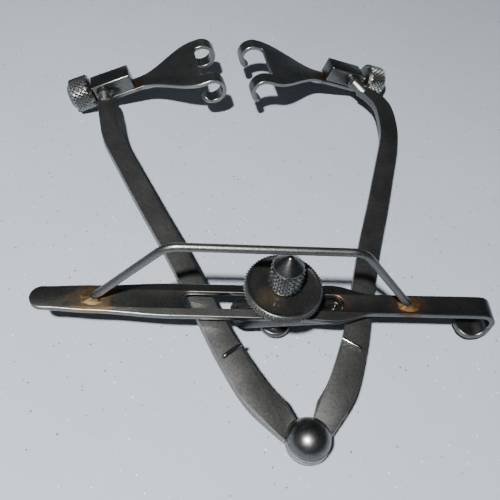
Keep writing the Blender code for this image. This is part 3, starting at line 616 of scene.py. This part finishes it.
def curl_down(obj, start, radius, most):
    """Rolls what lies beyond start downwards about a centre below it, then runs on straight."""
    for vert in obj.data.vertices:
        x = vert.co.x / MM
        if x <= start:
            continue
        angle = min((x - start) / radius, most)
        rest = x - start - angle * radius
        across = Vector((math.sin(angle), 0.0, math.cos(angle)))
        along = Vector((math.cos(angle), 0.0, -math.sin(angle)))
        centre = Vector((start, 0.0, -radius))
        place = (centre + across * radius + along * rest) * MM + across * vert.co.z
        vert.co = (place.x, vert.co.y, place.z)


def swept(name, route, radius, resolution=6):
    """A round wire along points, in millimetres."""
    curve = bpy.data.curves.new(name, "CURVE")
    curve.dimensions = "3D"
    curve.bevel_depth = radius * MM
    curve.bevel_resolution = resolution
    curve.use_fill_caps = True
    spline = curve.splines.new("POLY")
    spline.points.add(len(route) - 1)
    for point, place in zip(spline.points, route):
        point.co = (*(Vector(place) * MM), 1.0)
    return tidy_normals(settle(placed(name, curve)))


def dress(obj, body, nodes, material):
    """Gives a finished piece its material and ties it to the frame."""
    obj.data.materials.clear()
    obj.data.materials.append(material)
    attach(obj, body)
    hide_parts(*nodes)


def bar_matrix(height=0.0):
    return Matrix.Rotation(BAR_TURN, 4, "Z") @ Matrix.Translation((0.0, 0.0, height * MM))


def swivel_matrix(side):
    """Local X runs along the blade and up its lean, local Y across it."""
    place, heading, inward = SWIVEL_PLACES[side]
    return (Matrix.Translation(place * MM) @ Matrix.Rotation(heading, 4, "Z")
            @ Matrix.Diagonal((inward, 1.0, 1.0, 1.0)) @ Matrix.Rotation(-SWIVEL_LEAN, 4, "Y"))


# ---- knurl ----
def knurl_tree():
    """Rows of small pyramids round a cylinder about Z, joined to the incoming piece."""
    group, inside, out = group_shell(
        "Diamond Knurl", "GeometryNodeTree",
        (("Geometry", "NodeSocketGeometry", None), ("Radius", "NodeSocketFloat", 0.003),
         ("Base", "NodeSocketFloat", 0.0), ("Length", "NodeSocketFloat", 0.004),
         ("Around", "NodeSocketInt", 40), ("Rows", "NodeSocketInt", 14),
         ("Depth", "NodeSocketFloat", 0.00016), ("Material", "NodeSocketMaterial", None)),
        (("Geometry", "NodeSocketGeometry", None),))
    nodes, links = group.nodes, group.links
    calc = partial(maths, group)
    around, rows = inside.outputs["Around"], inside.outputs["Rows"]
    count = calc("MULTIPLY", around, rows)
    index = nodes.new("GeometryNodeInputIndex").outputs[0]
    row = calc("FLOOR", calc("DIVIDE", calc("ADD", index, 0.5), around))
    column = calc("SUBTRACT", index, calc("MULTIPLY", row, around))
    stagger = calc("MULTIPLY", calc("MODULO", row, 2.0), 0.5)
    turn = calc("MULTIPLY", calc("ADD", column, stagger), math.tau)
    angle = calc("DIVIDE", turn, around)
    step = calc("DIVIDE", inside.outputs["Length"], calc("ADD", rows, 1.0))
    height = calc("ADD", inside.outputs["Base"],
                   calc("MULTIPLY", step, calc("ADD", row, 1.0)))
    seat = calc("SUBTRACT", inside.outputs["Radius"], inside.outputs["Depth"])
    seat = calc("MULTIPLY", seat, 0.998)
    place = add_node(
        group, "ShaderNodeCombineXYZ", Z=height,
        X=calc("MULTIPLY", calc("COSINE", angle), seat),
        Y=calc("MULTIPLY", calc("SINE", angle), seat))
    points = add_node(group, "GeometryNodePoints", Count=count, Position=place.outputs[0])
    half_turn = calc("MULTIPLY", inside.outputs["Radius"], math.pi)
    width = calc("DIVIDE", half_turn, around)
    pyramid = add_node(group, "GeometryNodeMeshCone", Vertices=4, Radius_Bottom=1.0,
                       Radius_Top=0.18, Depth=1.0)
    size = add_node(group, "ShaderNodeCombineXYZ", X=calc("MULTIPLY", step, 0.97),
                    Y=calc("MULTIPLY", width, 0.97), Z=inside.outputs["Depth"])
    way = add_node(group, "ShaderNodeCombineXYZ", Y=math.pi / 2, Z=angle)
    turned = add_node(group, "FunctionNodeEulerToRotation", Euler=way.outputs[0])
    copies = add_node(group, "GeometryNodeInstanceOnPoints", Points=points.outputs[0],
                      Instance=pyramid.outputs["Mesh"], Rotation=turned.outputs[0],
                      Scale=size.outputs[0])
    join = nodes.new("GeometryNodeJoinGeometry")
    links.new(copies.outputs[0], join.inputs[0])
    links.new(inside.outputs["Geometry"], join.inputs[0])
    realize = add_node(group, "GeometryNodeRealizeInstances", Geometry=join.outputs[0])
    coat = add_node(group, "GeometryNodeSetMaterial", Geometry=realize.outputs[0],
                    Material=inside.outputs["Material"])
    links.new(coat.outputs[0], out.inputs["Geometry"])
    return group


def knurled(obj, radius, base, length, material, fineness=1.0):
    """Adds the knurl to a turned piece that stands on Z, and returns a plain mesh."""
    sizes = settings().sizes
    pitch = sizes.knurl_pitch / fineness
    tree = shared("knurl")
    around = round(math.tau * radius * MM / pitch)
    rows = round(2 * length * MM / (pitch * 1.15)) - 1
    values = {
        "Radius": radius * MM, "Base": base * MM, "Length": length * MM,
        "Around": around, "Rows": rows, "Depth": sizes.knurl_depth, "Material": material,
    }
    modifier = obj.modifiers.new("Knurl", "NODES")
    modifier.node_group = tree
    for item in tree.interface.items_tree:
        if item.in_out == "INPUT" and item.name in values:
            modifier[item.identifier] = values[item.name]
    return settle(obj)


# ---- arms and pivot ----
def make_arms():
    sizes, colours = settings().sizes, settings().colours
    for side in SIDES:
        material = steel(f"{side} arm steel", tuple(colours.satin), 0.40)
        arm = copy_of(f"{side}_arm", f"{side}_arm_blade")
        arm = shade(round_edges(arm, sizes.edge_round))
        dress(arm, f"{side}_arm_body", [f"{side}_arm"], material)
        bright = steel(f"{side} suture pin steel", tuple(colours.polished), 0.2, grain_bump=0.04)
        inner = 1 if side == "left" else -1
        corners = [v.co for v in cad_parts[f"{side}_suture_pin"].data.vertices]
        ends = sorted(((x, y, z) for x, y, z in corners), key=lambda place: place[0] * inner)
        outer_end, inner_end = Vector(ends[0]) / MM, Vector(ends[-1]) / MM
        root_rise, tip_rise = SUTURE_PIN_RISE
        inset = SUTURE_PIN_INSET * inner
        root = Vector((outer_end.x + inset, outer_end.y, ARM_TOP + root_rise))
        tip = Vector((inner_end.x - inset, inner_end.y, ARM_TOP + tip_rise))
        way = (tip - root).normalized()
        route = [root + way * along + Vector((0, 0, up)) for along, up in SUTURE_PIN_ROOT] + [tip]
        pin = swept(f"{side}_suture_pin_wire", softened(route, SUTURE_PIN_BEND), SUTURE_PIN_RADIUS)
        pin = shade(round_edges(pin, 0.0001), 50)
        dress(pin, f"{side}_arm_body", [f"{side}_suture_pin"], bright)


def make_pivot():
    sizes, colours = settings().sizes, settings().colours
    segments = sizes.round_segments
    centre = Matrix.Translation(PIVOT * MM)
    polished = steel("dome steel", toned(colours.polished, 0.75), 0.30, grain_bump=0.06)
    satin = steel("pivot washer steel", tuple(colours.satin), 0.3)
    base = ARM_TOP + WASHER_THICK
    start = math.radians(DOME_START)
    dome = [(0.0, base + DOME_HEIGHT + DOME_RIM)]
    for step in range(1, DOME_STEPS + 1):
        angle = math.radians(90 - (90 - DOME_START) * step / DOME_STEPS)
        dome.append((DOME_RADIUS * math.cos(angle) / math.cos(start),
                     base + DOME_RIM + DOME_HEIGHT * (math.sin(angle) - math.sin(start))
                     / (1 - math.sin(start))))
    shank = [(DOME_RADIUS - 0.05, base), (PIVOT_SHANK, base), (PIVOT_SHANK, PIVOT_BOTTOM),
             (0.0, PIVOT_BOTTOM)]
    screw = shade(lathe("pivot_dome_screw", dome + shank, segments, centre), 40)
    dress(screw, "pivot", ["pivot_screw"], polished)
    for name, node, radius, high, low, corner in (
            ("pivot_flat_washer", "pivot_washer", DOME_RADIUS + 0.1, base, ARM_TOP, 0.08),
            ("pivot_thin_nut", "pivot_nut", NUT_RADIUS, NUT_TOP, PIVOT_BOTTOM, 0.1)):
        ring = [(radius, high), (radius, low), (PIVOT_HOLE, low), (PIVOT_HOLE, high)]
        piece = shade(lathe(name, softened(ring, corner, 3, True), segments, centre))
        dress(piece, "pivot", [node], satin)


# ---- spreader, post and stack ----
def make_spreader():
    sizes, colours = settings().sizes, settings().colours
    # Satin darkened to 0.55 as painted shade: block, post, collar, washer and bush sit in the bar's
    # shadow.
    satin = steel("spreader painted shade steel", toned(colours.satin, 0.55), 0.34)
    bright = steel("guide pin steel", tuple(colours.polished), 0.22, grain_bump=0.04)
    block = shade(round_edges(copy_of("spreader_block", "spreader_plate"), sizes.edge_round))
    dress(block, "spreader", ["spreader_block"], satin)
    for side in SIDES:
        low, high = (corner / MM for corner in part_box(f"{side}_guide_pin"))
        x = (low.x + high.x) / 2
        pin = [(0.0, high.z), (GUIDE_PIN_RADIUS, high.z), (GUIDE_PIN_RADIUS, low.z), (0.0, low.z)]
        place = Matrix.Translation((x * MM, 0.0, 0.0))
        piece = lathe(f"{side}_guide_pin_rod", softened(pin, 0.12, 3), 32, place)
        dress(shade(piece), "spreader", [f"{side}_guide_pin"], bright)
    for node, edge in TURNED_EDGES.items():
        piece = shade(round_edges(copy_of(node, node + "_turned"), edge * MM, 2, 40.0))
        dress(piece, "spreader", [node], satin)
    bush = shade(round_edges(copy_of("slot_bush", "slot_bush_milled"), BUSH_EDGE * MM, 2, 40.0))
    dress(bush, "bush", ["slot_bush"], satin)


def make_clamp_disc():
    sizes, colours = settings().sizes, settings().colours
    satin = steel("disc steel", toned(colours.satin, 0.92), 0.33, grain_bump=0.35, turning=0.2,
                  stains=DISC_STAINS)
    top, chamfer = DISC_TOP, DISC_CHAMFER
    hub_radius, hub_height = DISC_HUB
    rim_low = DISC_BASE + hub_height
    skin = DISC_RADIUS - sizes.knurl_depth / MM
    profile = [(radius, top - depth) for radius, depth in DISC_DISH] + [
        (skin - chamfer, top), (skin, top - chamfer),
        (skin, rim_low + chamfer), (skin - chamfer, rim_low),
        (hub_radius, rim_low), (hub_radius, DISC_BASE), (STACK_BORE, DISC_BASE),
    ]
    disc = lathe("clamp_disc", softened(profile, 0.12, 3, True), sizes.round_segments)
    disc = knurled(disc, DISC_RADIUS, rim_low + 0.08, top - rim_low - 0.16, satin, DISC_FINENESS)
    dress(shade(disc, 24), "disc", ["lock_disc"], satin)


def make_top_knob():
    sizes, colours = settings().sizes, settings().colours
    finish = steel("knob steel", toned(colours.knurled, 0.78), 0.24, grain_bump=0.04, turning=0.35)
    base, radius, height = KNOB_BASE, KNOB_RADIUS, KNOB_HEIGHT
    tip_radius, tip_depth = KNOB_TIP
    inset, rise = KNOB_SHOULDER
    skin = radius - sizes.knurl_depth / MM
    profile = [
        (0.0, base + height + KNOB_CONE), (tip_radius, base + height + KNOB_CONE - tip_depth),
        (radius - inset, base + height + rise), (skin, base + height - 0.08), (skin, base + 0.18),
        (skin - 0.2, base), (STACK_BORE, base),
        (STACK_BORE, base + KNOB_BORE_DEPTH), (0.0, base + KNOB_BORE_DEPTH),
    ]
    knob = lathe("cone_knob", softened(profile, 0.14, 3), sizes.round_segments)
    knob = shade(knurled(knob, radius, base + 0.2, height - 0.35, finish), 24)
    dress(knob, "knob", ["top_knob"], finish)


# ---- cross bar and bridge wire ----
def bar_half(x):
    """Half the bar's width at a place along it."""
    if x <= BAR_WIDTHS[0][0]:
        radius = BAR_WIDTHS[0][1] / 2
        return math.sqrt(max(radius ** 2 - (BAR_LEFT + radius - x) ** 2, 0.0))
    for (x0, w0), (x1, w1) in zip(BAR_WIDTHS, BAR_WIDTHS[1:]):
        if x <= x1:
            t = (x - x0) / (x1 - x0)
            return (w0 + (w1 - w0) * t * t * (3 - 2 * t)) / 2
    return BAR_WIDTHS[-1][1] / 2


def round_slot(left, right, width, steps=18):
    """Outline of a slot with round ends."""
    radius = width / 2
    points = []
    for centre, start in ((right - radius, -90.0), (left + radius, 90.0)):
        for step in range(steps + 1):
            angle = math.radians(start + 180.0 * step / steps)
            points.append((centre + radius * math.cos(angle), radius * math.sin(angle)))
    return points


def make_cross_bar():
    sizes, colours = settings().sizes, settings().colours
    left_radius = BAR_WIDTHS[0][1] / 2
    turns = [math.radians(90.0 * step / 12) for step in range(13)]
    upper = [(BAR_LEFT + left_radius * (1 - math.cos(turn)), left_radius * math.sin(turn))
             for turn in turns]
    span = HOOK_START - BAR_LEFT - left_radius
    for step in range(1, BAR_STEPS + 1):
        x = BAR_LEFT + left_radius + span * step / BAR_STEPS
        upper.append((x, bar_half(x)))
    roll = math.pi * HOOK_RADIUS
    pad_length, pad_width = HOOK_PAD
    neck = BAR_WIDTHS[-1][1] / 2
    pad_start = HOOK_START + roll * PAD_START
    pad_end = HOOK_START + roll + pad_length
    for step in range(1, 25):
        t = step / 24
        x = pad_start + (pad_end - pad_start) * t
        swell = neck + (pad_width / 2 - neck) * math.sin(min(t * PAD_SWELL, 1.0) * math.pi / 2)
        if t > PAD_ROUND:
            swell *= math.sqrt(max(1.0 - ((t - PAD_ROUND) / (1 - PAD_ROUND)) ** 2, 0.0))
        upper.append((x, swell))
    lower = [(x, -y) for x, y in upper[1:-1]][::-1]
    slot = round_slot(*SLOT)
    bar = plate("slotted_cross_bar", upper + lower, [slot], BAR_THICK, sizes.edge_round)
    slice_across(bar, [HOOK_START + (pad_end - HOOK_START) * step / HOOK_SLICES
                       for step in range(HOOK_SLICES)])
    curl_down(bar, HOOK_START, HOOK_RADIUS, math.pi)
    bar.data.transform(bar_matrix(BAR_TOP - BAR_THICK / 2))
    turn = Matrix.Rotation(BAR_TURN, 3, "Z")
    stains = [(turn @ Vector((x, y, BAR_TOP)), radius, amount, kind)
              for x, y, radius, amount, kind in BAR_STAINS]
    material = steel("cross bar steel", toned(colours.satin, 0.88), 0.33, stains=stains)
    dress(shade(bar), "bar", ["cross_bar"], material)


def wire_route(foot):
    """The wire's middle line from foot to foot, its feet at the height given."""
    corners = [(WIRE_FEET[0], 0.0, foot), (WIRE_BENDS[0], 0.0, WIRE_HEIGHT),
               (WIRE_BENDS[1], 0.0, WIRE_HEIGHT), (WIRE_FEET[1], 0.0, foot)]
    return softened(corners, WIRE_BEND_RADIUS, 12)


def make_bridge_wire():
    colours = settings().colours
    wire = swept("bridge_wire_rod", wire_route(BAR_TOP + WIRE_LIFT), WIRE_RADIUS, 8)
    wire.data.transform(bar_matrix())
    finish = steel("bridge wire steel", toned(colours.satin, 0.95), 0.36,
                   grain_scale=3600.0, grain_bump=0.3)
    dress(shade(wire, 50), "bar", ["bridge_wire"], finish)
    turn = Matrix.Rotation(BAR_TURN, 3, "Z")
    length, width, height = BRAZE_SIZE
    for side, foot in zip(SIDES, WIRE_FEET):
        lean = 1.0 if side == "left" else -1.0
        bm = bmesh.new()
        bmesh.ops.create_uvsphere(bm, u_segments=64, v_segments=32, radius=1.0)
        for vert in bm.verts:
            x, y, z = vert.co
            lump = 1.0 + 0.07 * math.sin(5.0 * x + 2.0) * math.cos(4.0 * y)
            lump += 0.05 * math.sin(9.0 * y + 3.0 * z)
            rise = height * max(z, 0.0) ** 1.6
            narrow = 1.0 - BRAZE_DRAW * max(z, 0.0) ** 0.6
            vert.co = (length * lump * x * narrow + lean * rise * BRAZE_DRAW,
                       width * lump * y * narrow,
                       rise if z > 0 else 0.12 * z)
        bmesh.ops.scale(bm, verts=bm.verts, vec=(MM, MM, MM))
        bmesh.ops.translate(bm, verts=bm.verts, vec=(foot * MM, 0.0, BAR_TOP * MM))
        bmesh.ops.rotate(bm, verts=bm.verts, matrix=turn)
        weld = shade(link_mesh(f"{side}_braze", bm), 60)
        centre = turn @ Vector((foot, 0.0, BAR_TOP + 0.3))
        tone = tuple(colours.straw) if side == "left" else toned(colours.straw, 0.8)
        rusted = 1.1 if side == "left" else 2.1
        stains = ((centre + Vector((0.6 * lean, 0.0, 0.6)), rusted, 0.9, "rust"),
                  (centre, 2.6, 0.2, "straw"))
        colour = tuple(0.24 * a + 0.05 * b for a, b in zip(tone, colours.satin))
        material = steel(f"{side} braze", colour, 0.56, grain_bump=0.3, wear_and_sheen=0.1, stains=stains)
        dress(weld, "bar", [f"{side}_braze_fillet"], material)


# ---- tips ----
def blade_outline(side):
    """Flat outline of the blade before its fingers are curled."""
    end = BLADE_NOTCH + FINGER_SHOULDER + FINGER_RADIUS * math.radians(FINGER_CURL[side])
    half_root, half = BLADE_ROOT / 2, BLADE_WIDTH / 2
    inner = half - FINGER_WIDTH
    upper = [(0.0, half_root), (BLADE_FLARE, half_root)]
    for step in range(1, 33):
        t = step / 32
        upper.append((BLADE_FLARE + (BLADE_NOTCH - BLADE_FLARE) * t,
                      half_root + (half - half_root) * t * t * (3 - 2 * t)))
    tip = FINGER_WIDTH / 2
    for step in range(1, 26):
        upper.append((BLADE_NOTCH + (end - tip - BLADE_NOTCH) * step / 25, half))
    for step in range(1, 17):
        angle = math.radians(90.0 - 180.0 * step / 16)
        upper.append((end - tip + tip * math.cos(angle), half - tip + tip * math.sin(angle)))
    for step in range(1, 26):
        upper.append((end - tip + (BLADE_NOTCH + FINGER_ROOT - end + tip) * step / 25, inner))
    for step in range(1, 7):
        angle = math.radians(90.0 * step / 6)
        upper.append((BLADE_NOTCH + FINGER_ROOT - FINGER_ROOT * math.sin(angle),
                      inner - FINGER_ROOT * (1 - math.cos(angle))))
    return upper + [(x, -y) for x, y in upper][::-1], end


def make_tips():
    sizes, colours = settings().sizes, settings().colours
    for side in SIDES:
        local = swivel_matrix(side)
        under = SWIVEL_SIZE[2] / 2 + BLADE_THICK / 2
        outline, end = blade_outline(side)
        blade = plate(f"{side}_lid_blade", outline, [], BLADE_THICK, sizes.edge_round)
        roll = BLADE_NOTCH + FINGER_SHOULDER
        slice_across(blade, [roll + (end - roll) * step / FINGER_SLICES
                             for step in range(FINGER_SLICES)])
        curl_down(blade, roll, FINGER_RADIUS, math.tau)
        shift = Vector((-SWIVEL_INSET, 0.0, -under - BLADE_GAP))
        blade.data.transform(local @ Matrix.Translation(shift * MM))
        beyond, up = JUNCTION
        junction = local @ Vector(((SWIVEL_SIZE[0] - SWIVEL_INSET + beyond) * MM, 0.0, up * MM)) / MM
        material = steel(f"{side} blade steel", toned(colours.satin, 1.5), 0.30,
                         stains=((junction, 2.0, 0.85, "rust"),))
        blade = shade(tidy_normals(blade))
        dress(blade, f"{side}_blade_body", [f"{side}_blade"], material)

        block = copy_of(f"{side}_swivel_block", f"{side}_swivel_body")
        block = shade(round_edges(block, SWIVEL_EDGE * MM, 2, 50.0))
        finish = steel(f"{side} swivel steel", toned(colours.satin, 1.05), 0.3,
                       stains=((junction, 1.6, 0.9, "rust"),))
        dress(block, f"{side}_blade_body", [f"{side}_swivel_block"], finish)


def make_thumbscrews():
    sizes, colours = settings().sizes, settings().colours
    for side in SIDES:
        finish = steel(f"{side} thumbscrew steel", tuple(colours.knurled), 0.3, grain_bump=0.05)
        undone = THUMB_BACKED_OFF[side]
        face, tip = THUMB_FACE + undone, THUMB_TIP + undone
        radius, length = THUMB_RADIUS, THUMB_LENGTH
        skin = radius - sizes.knurl_depth / MM
        profile = [
            (0.0, -tip), (THUMB_SHANK, -tip), (THUMB_SHANK, -face), (skin - 0.75, -face),
            (skin - 0.05, -face - 0.6), (skin, -face - length + 0.95), (skin - 0.8, -face - length),
            (0.9, -face - length + 0.02), (0.0, -face - length + 0.02),
        ]
        screw = lathe(f"{side}_thumb_grip", softened(profile, 0.12, 3), sizes.round_segments)
        screw = knurled(screw, radius, -face - length + 0.55, length - 0.75, finish)
        place, heading, inward = SWIVEL_PLACES[side]
        along = Vector((inward * math.cos(SWIVEL_LEAN), 0.0, math.sin(SWIVEL_LEAN)))
        along = Matrix.Rotation(heading, 3, "Z") @ along
        turn = along.to_track_quat("Z", "Y").to_matrix().to_4x4()
        screw.data.transform(Matrix.Translation(place * MM) @ turn)
        screw = shade(screw, 24)
        dress(screw, f"{side}_thumbscrew_body", [f"{side}_thumbscrew"], finish)


# ---- stage ----
def make_floor():
    sizes, colours = settings().sizes, settings().colours
    bm = bmesh.new()
    bmesh.ops.create_grid(bm, x_segments=2, y_segments=2, size=sizes.floor_size / 2)
    floor = link_mesh("floor", bm)
    material, tree, shader, place = new_material("floor laminate")
    shader.inputs["Roughness"].default_value = 0.42
    shader.inputs["Specular IOR Level"].default_value = 0.35
    grit = speck_mask(tree, place, 1300.0, 0.82)
    glitter = speck_mask(tree, place, 1900.0, 0.91)
    soft = spread(tree, noise(tree, place, 45.0, 4.0, 0.6), 0.3, 0.7)
    pale = tuple(colours.floor)
    base = mixed(tree, soft, toned(pale, 0.97), toned(pale, 1.02))
    base = mixed(tree, grit, base, toned(pale, 0.30))
    base = mixed(tree, glitter, base, (0.86, 0.88, 0.90))
    tree.links.new(base, shader.inputs["Base Color"])
    bumped(tree, shader, noise(tree, place, 900.0, 3.0, 0.6), 0.2, 0.0001)
    floor.data.materials.append(material)


def area_light(name, place, target, size, power, colour):
    light = bpy.data.lights.new(name, "AREA")
    light.shape = "DISK"
    light.size = size
    light.energy = power
    light.color = colour
    lamp = placed(name, light)
    lamp.location = place
    lamp.rotation_mode = "QUATERNION"
    lamp.rotation_quaternion = (Vector(target) - Vector(place)).to_track_quat("-Z", "Y")


def make_lights():
    for light in LIGHTS:
        area_light(*light)
    world = bpy.data.worlds.new("studio")
    bpy.context.scene.world = world
    world.use_nodes = True
    tree = world.node_tree
    background = tree.nodes["Background"]
    place = tree.nodes.new("ShaderNodeTexCoord").outputs["Generated"]
    ramp = add_node(tree, "ShaderNodeValToRGB", Fac=vector_maths(tree, "DOT_PRODUCT", place, SKY_UP))
    for stop, (position, colour) in zip(ramp.color_ramp.elements, SKY_STOPS):
        stop.position = position
        stop.color = colour
    tree.links.new(ramp.outputs["Color"], background.inputs["Color"])
    background.inputs["Strength"].default_value = SKY_STRENGTH


def make_camera():
    """Close camera over the pivot end, rolled a little, with the pivot low in the frame."""
    elevation, roll, swing = (math.radians(a) for a in VIEW_ANGLES)
    forward = Vector((0.0, math.cos(elevation), -math.sin(elevation)))
    right = Vector((1.0, 0.0, 0.0))
    up = right.cross(forward)
    turn = Matrix.Rotation(swing, 3, "Z")
    forward, right, up = (turn @ v for v in (forward, right, up))
    image_right = right * math.cos(roll) + up * math.sin(roll)
    image_up = up * math.cos(roll) - right * math.sin(roll)
    across, down = ((place - VIEW_SIZE / 2) / VIEW_FOCAL * VIEW_DEPTH for place in VIEW_PIVOT)
    offset = image_right * across - image_up * down + forward * VIEW_DEPTH
    place = PIVOT + Vector((0.0, 0.0, ARM_TOP)) - offset
    data = bpy.data.cameras.new("camera")
    data.sensor_width = 36.0
    data.lens = VIEW_FOCAL / VIEW_SIZE * data.sensor_width
    data.clip_start = 0.002
    data.clip_end = 20.0
    camera = placed("camera", data)
    rotation = Matrix((image_right, image_up, -forward)).transposed().to_4x4()
    camera.matrix_world = Matrix.Translation(place * MM) @ rotation
    bpy.context.scene.camera = camera


# ---- operators ----
class RETRACTOR_OT_arms(bpy.types.Operator):
    """Make both arms and their suture pins"""
    bl_idname = "retractor.arms"
    bl_label = "Arms"

    def execute(self, context):
        make_arms()
        return {"FINISHED"}


class RETRACTOR_OT_pivot(bpy.types.Operator):
    """Make the domed pivot screw, its washer and nut"""
    bl_idname = "retractor.pivot"
    bl_label = "Pivot"

    def execute(self, context):
        make_pivot()
        return {"FINISHED"}


class RETRACTOR_OT_spreader(bpy.types.Operator):
    """Make the spreader block, guide pins, post, collar, washer and slot bush"""
    bl_idname = "retractor.spreader"
    bl_label = "Spreader and Post"

    def execute(self, context):
        make_spreader()
        return {"FINISHED"}


class RETRACTOR_OT_disc(bpy.types.Operator):
    """Make the knurled clamping disc"""
    bl_idname = "retractor.disc"
    bl_label = "Clamp Disc"

    def execute(self, context):
        make_clamp_disc()
        return {"FINISHED"}


class RETRACTOR_OT_knob(bpy.types.Operator):
    """Make the knurled top knob with its cone"""
    bl_idname = "retractor.knob"
    bl_label = "Top Knob"

    def execute(self, context):
        make_top_knob()
        return {"FINISHED"}


class RETRACTOR_OT_bar(bpy.types.Operator):
    """Make the slotted cross bar with its hook"""
    bl_idname = "retractor.bar"
    bl_label = "Cross Bar"

    def execute(self, context):
        make_cross_bar()
        return {"FINISHED"}


class RETRACTOR_OT_wire(bpy.types.Operator):
    """Make the bridge wire and its brazed feet"""
    bl_idname = "retractor.wire"
    bl_label = "Bridge Wire"

    def execute(self, context):
        make_bridge_wire()
        return {"FINISHED"}


class RETRACTOR_OT_tips(bpy.types.Operator):
    """Make the swivel blocks and the blades"""
    bl_idname = "retractor.tips"
    bl_label = "Blades"

    def execute(self, context):
        make_tips()
        return {"FINISHED"}


class RETRACTOR_OT_thumbscrews(bpy.types.Operator):
    """Make both knurled thumbscrews"""
    bl_idname = "retractor.thumbscrews"
    bl_label = "Thumbscrews"

    def execute(self, context):
        make_thumbscrews()
        return {"FINISHED"}


class RETRACTOR_OT_stage(bpy.types.Operator):
    """Make the floor, the lights and the camera"""
    bl_idname = "retractor.stage"
    bl_label = "Stage"

    def execute(self, context):
        make_floor()
        make_lights()
        make_camera()
        return {"FINISHED"}


class RetractorSettings(bpy.types.PropertyGroup):
    sizes: PointerProperty(type=RetractorSizes, name="Sizes", description="Sizes of the finish")
    colours: PointerProperty(type=RetractorColours, name="Colours", description="Colours of the finish")


OPERATORS = (
    RETRACTOR_OT_arms, RETRACTOR_OT_pivot, RETRACTOR_OT_spreader, RETRACTOR_OT_disc, RETRACTOR_OT_knob,
    RETRACTOR_OT_bar, RETRACTOR_OT_wire, RETRACTOR_OT_tips, RETRACTOR_OT_thumbscrews, RETRACTOR_OT_stage,
)


class RETRACTOR_PT_panel(bpy.types.Panel):
    """Settings and makers of the lid retractor"""
    bl_idname = "RETRACTOR_PT_panel"
    bl_label = "Lid Retractor"
    bl_space_type = "VIEW_3D"
    bl_region_type = "UI"
    bl_category = "Retractor"

    def draw(self, context):
        layout = self.layout
        chosen = context.scene.retractor
        for part in (chosen.sizes, chosen.colours):
            box = layout.box()
            for name in part.bl_rna.properties.keys():
                if name not in {"rna_type", "name"}:
                    box.prop(part, name)
        for operator in OPERATORS:
            layout.operator(operator.bl_idname)


CLASSES = (RetractorSizes, RetractorColours, RetractorSettings, *OPERATORS, RETRACTOR_PT_panel)


def register():
    for item in CLASSES:
        bpy.utils.register_class(item)
    bpy.types.Scene.retractor = PointerProperty(type=RetractorSettings)


def unregister():
    del bpy.types.Scene.retractor
    for item in reversed(CLASSES):
        bpy.utils.unregister_class(item)


def main():
    register()
    makers = bpy.ops.retractor
    makers.arms()
    makers.pivot()
    makers.spreader()
    makers.disc()
    makers.knob()
    makers.bar()
    makers.wire()
    makers.tips()
    makers.thumbscrews()
    makers.stage()


if __name__ == "__main__":
    main()
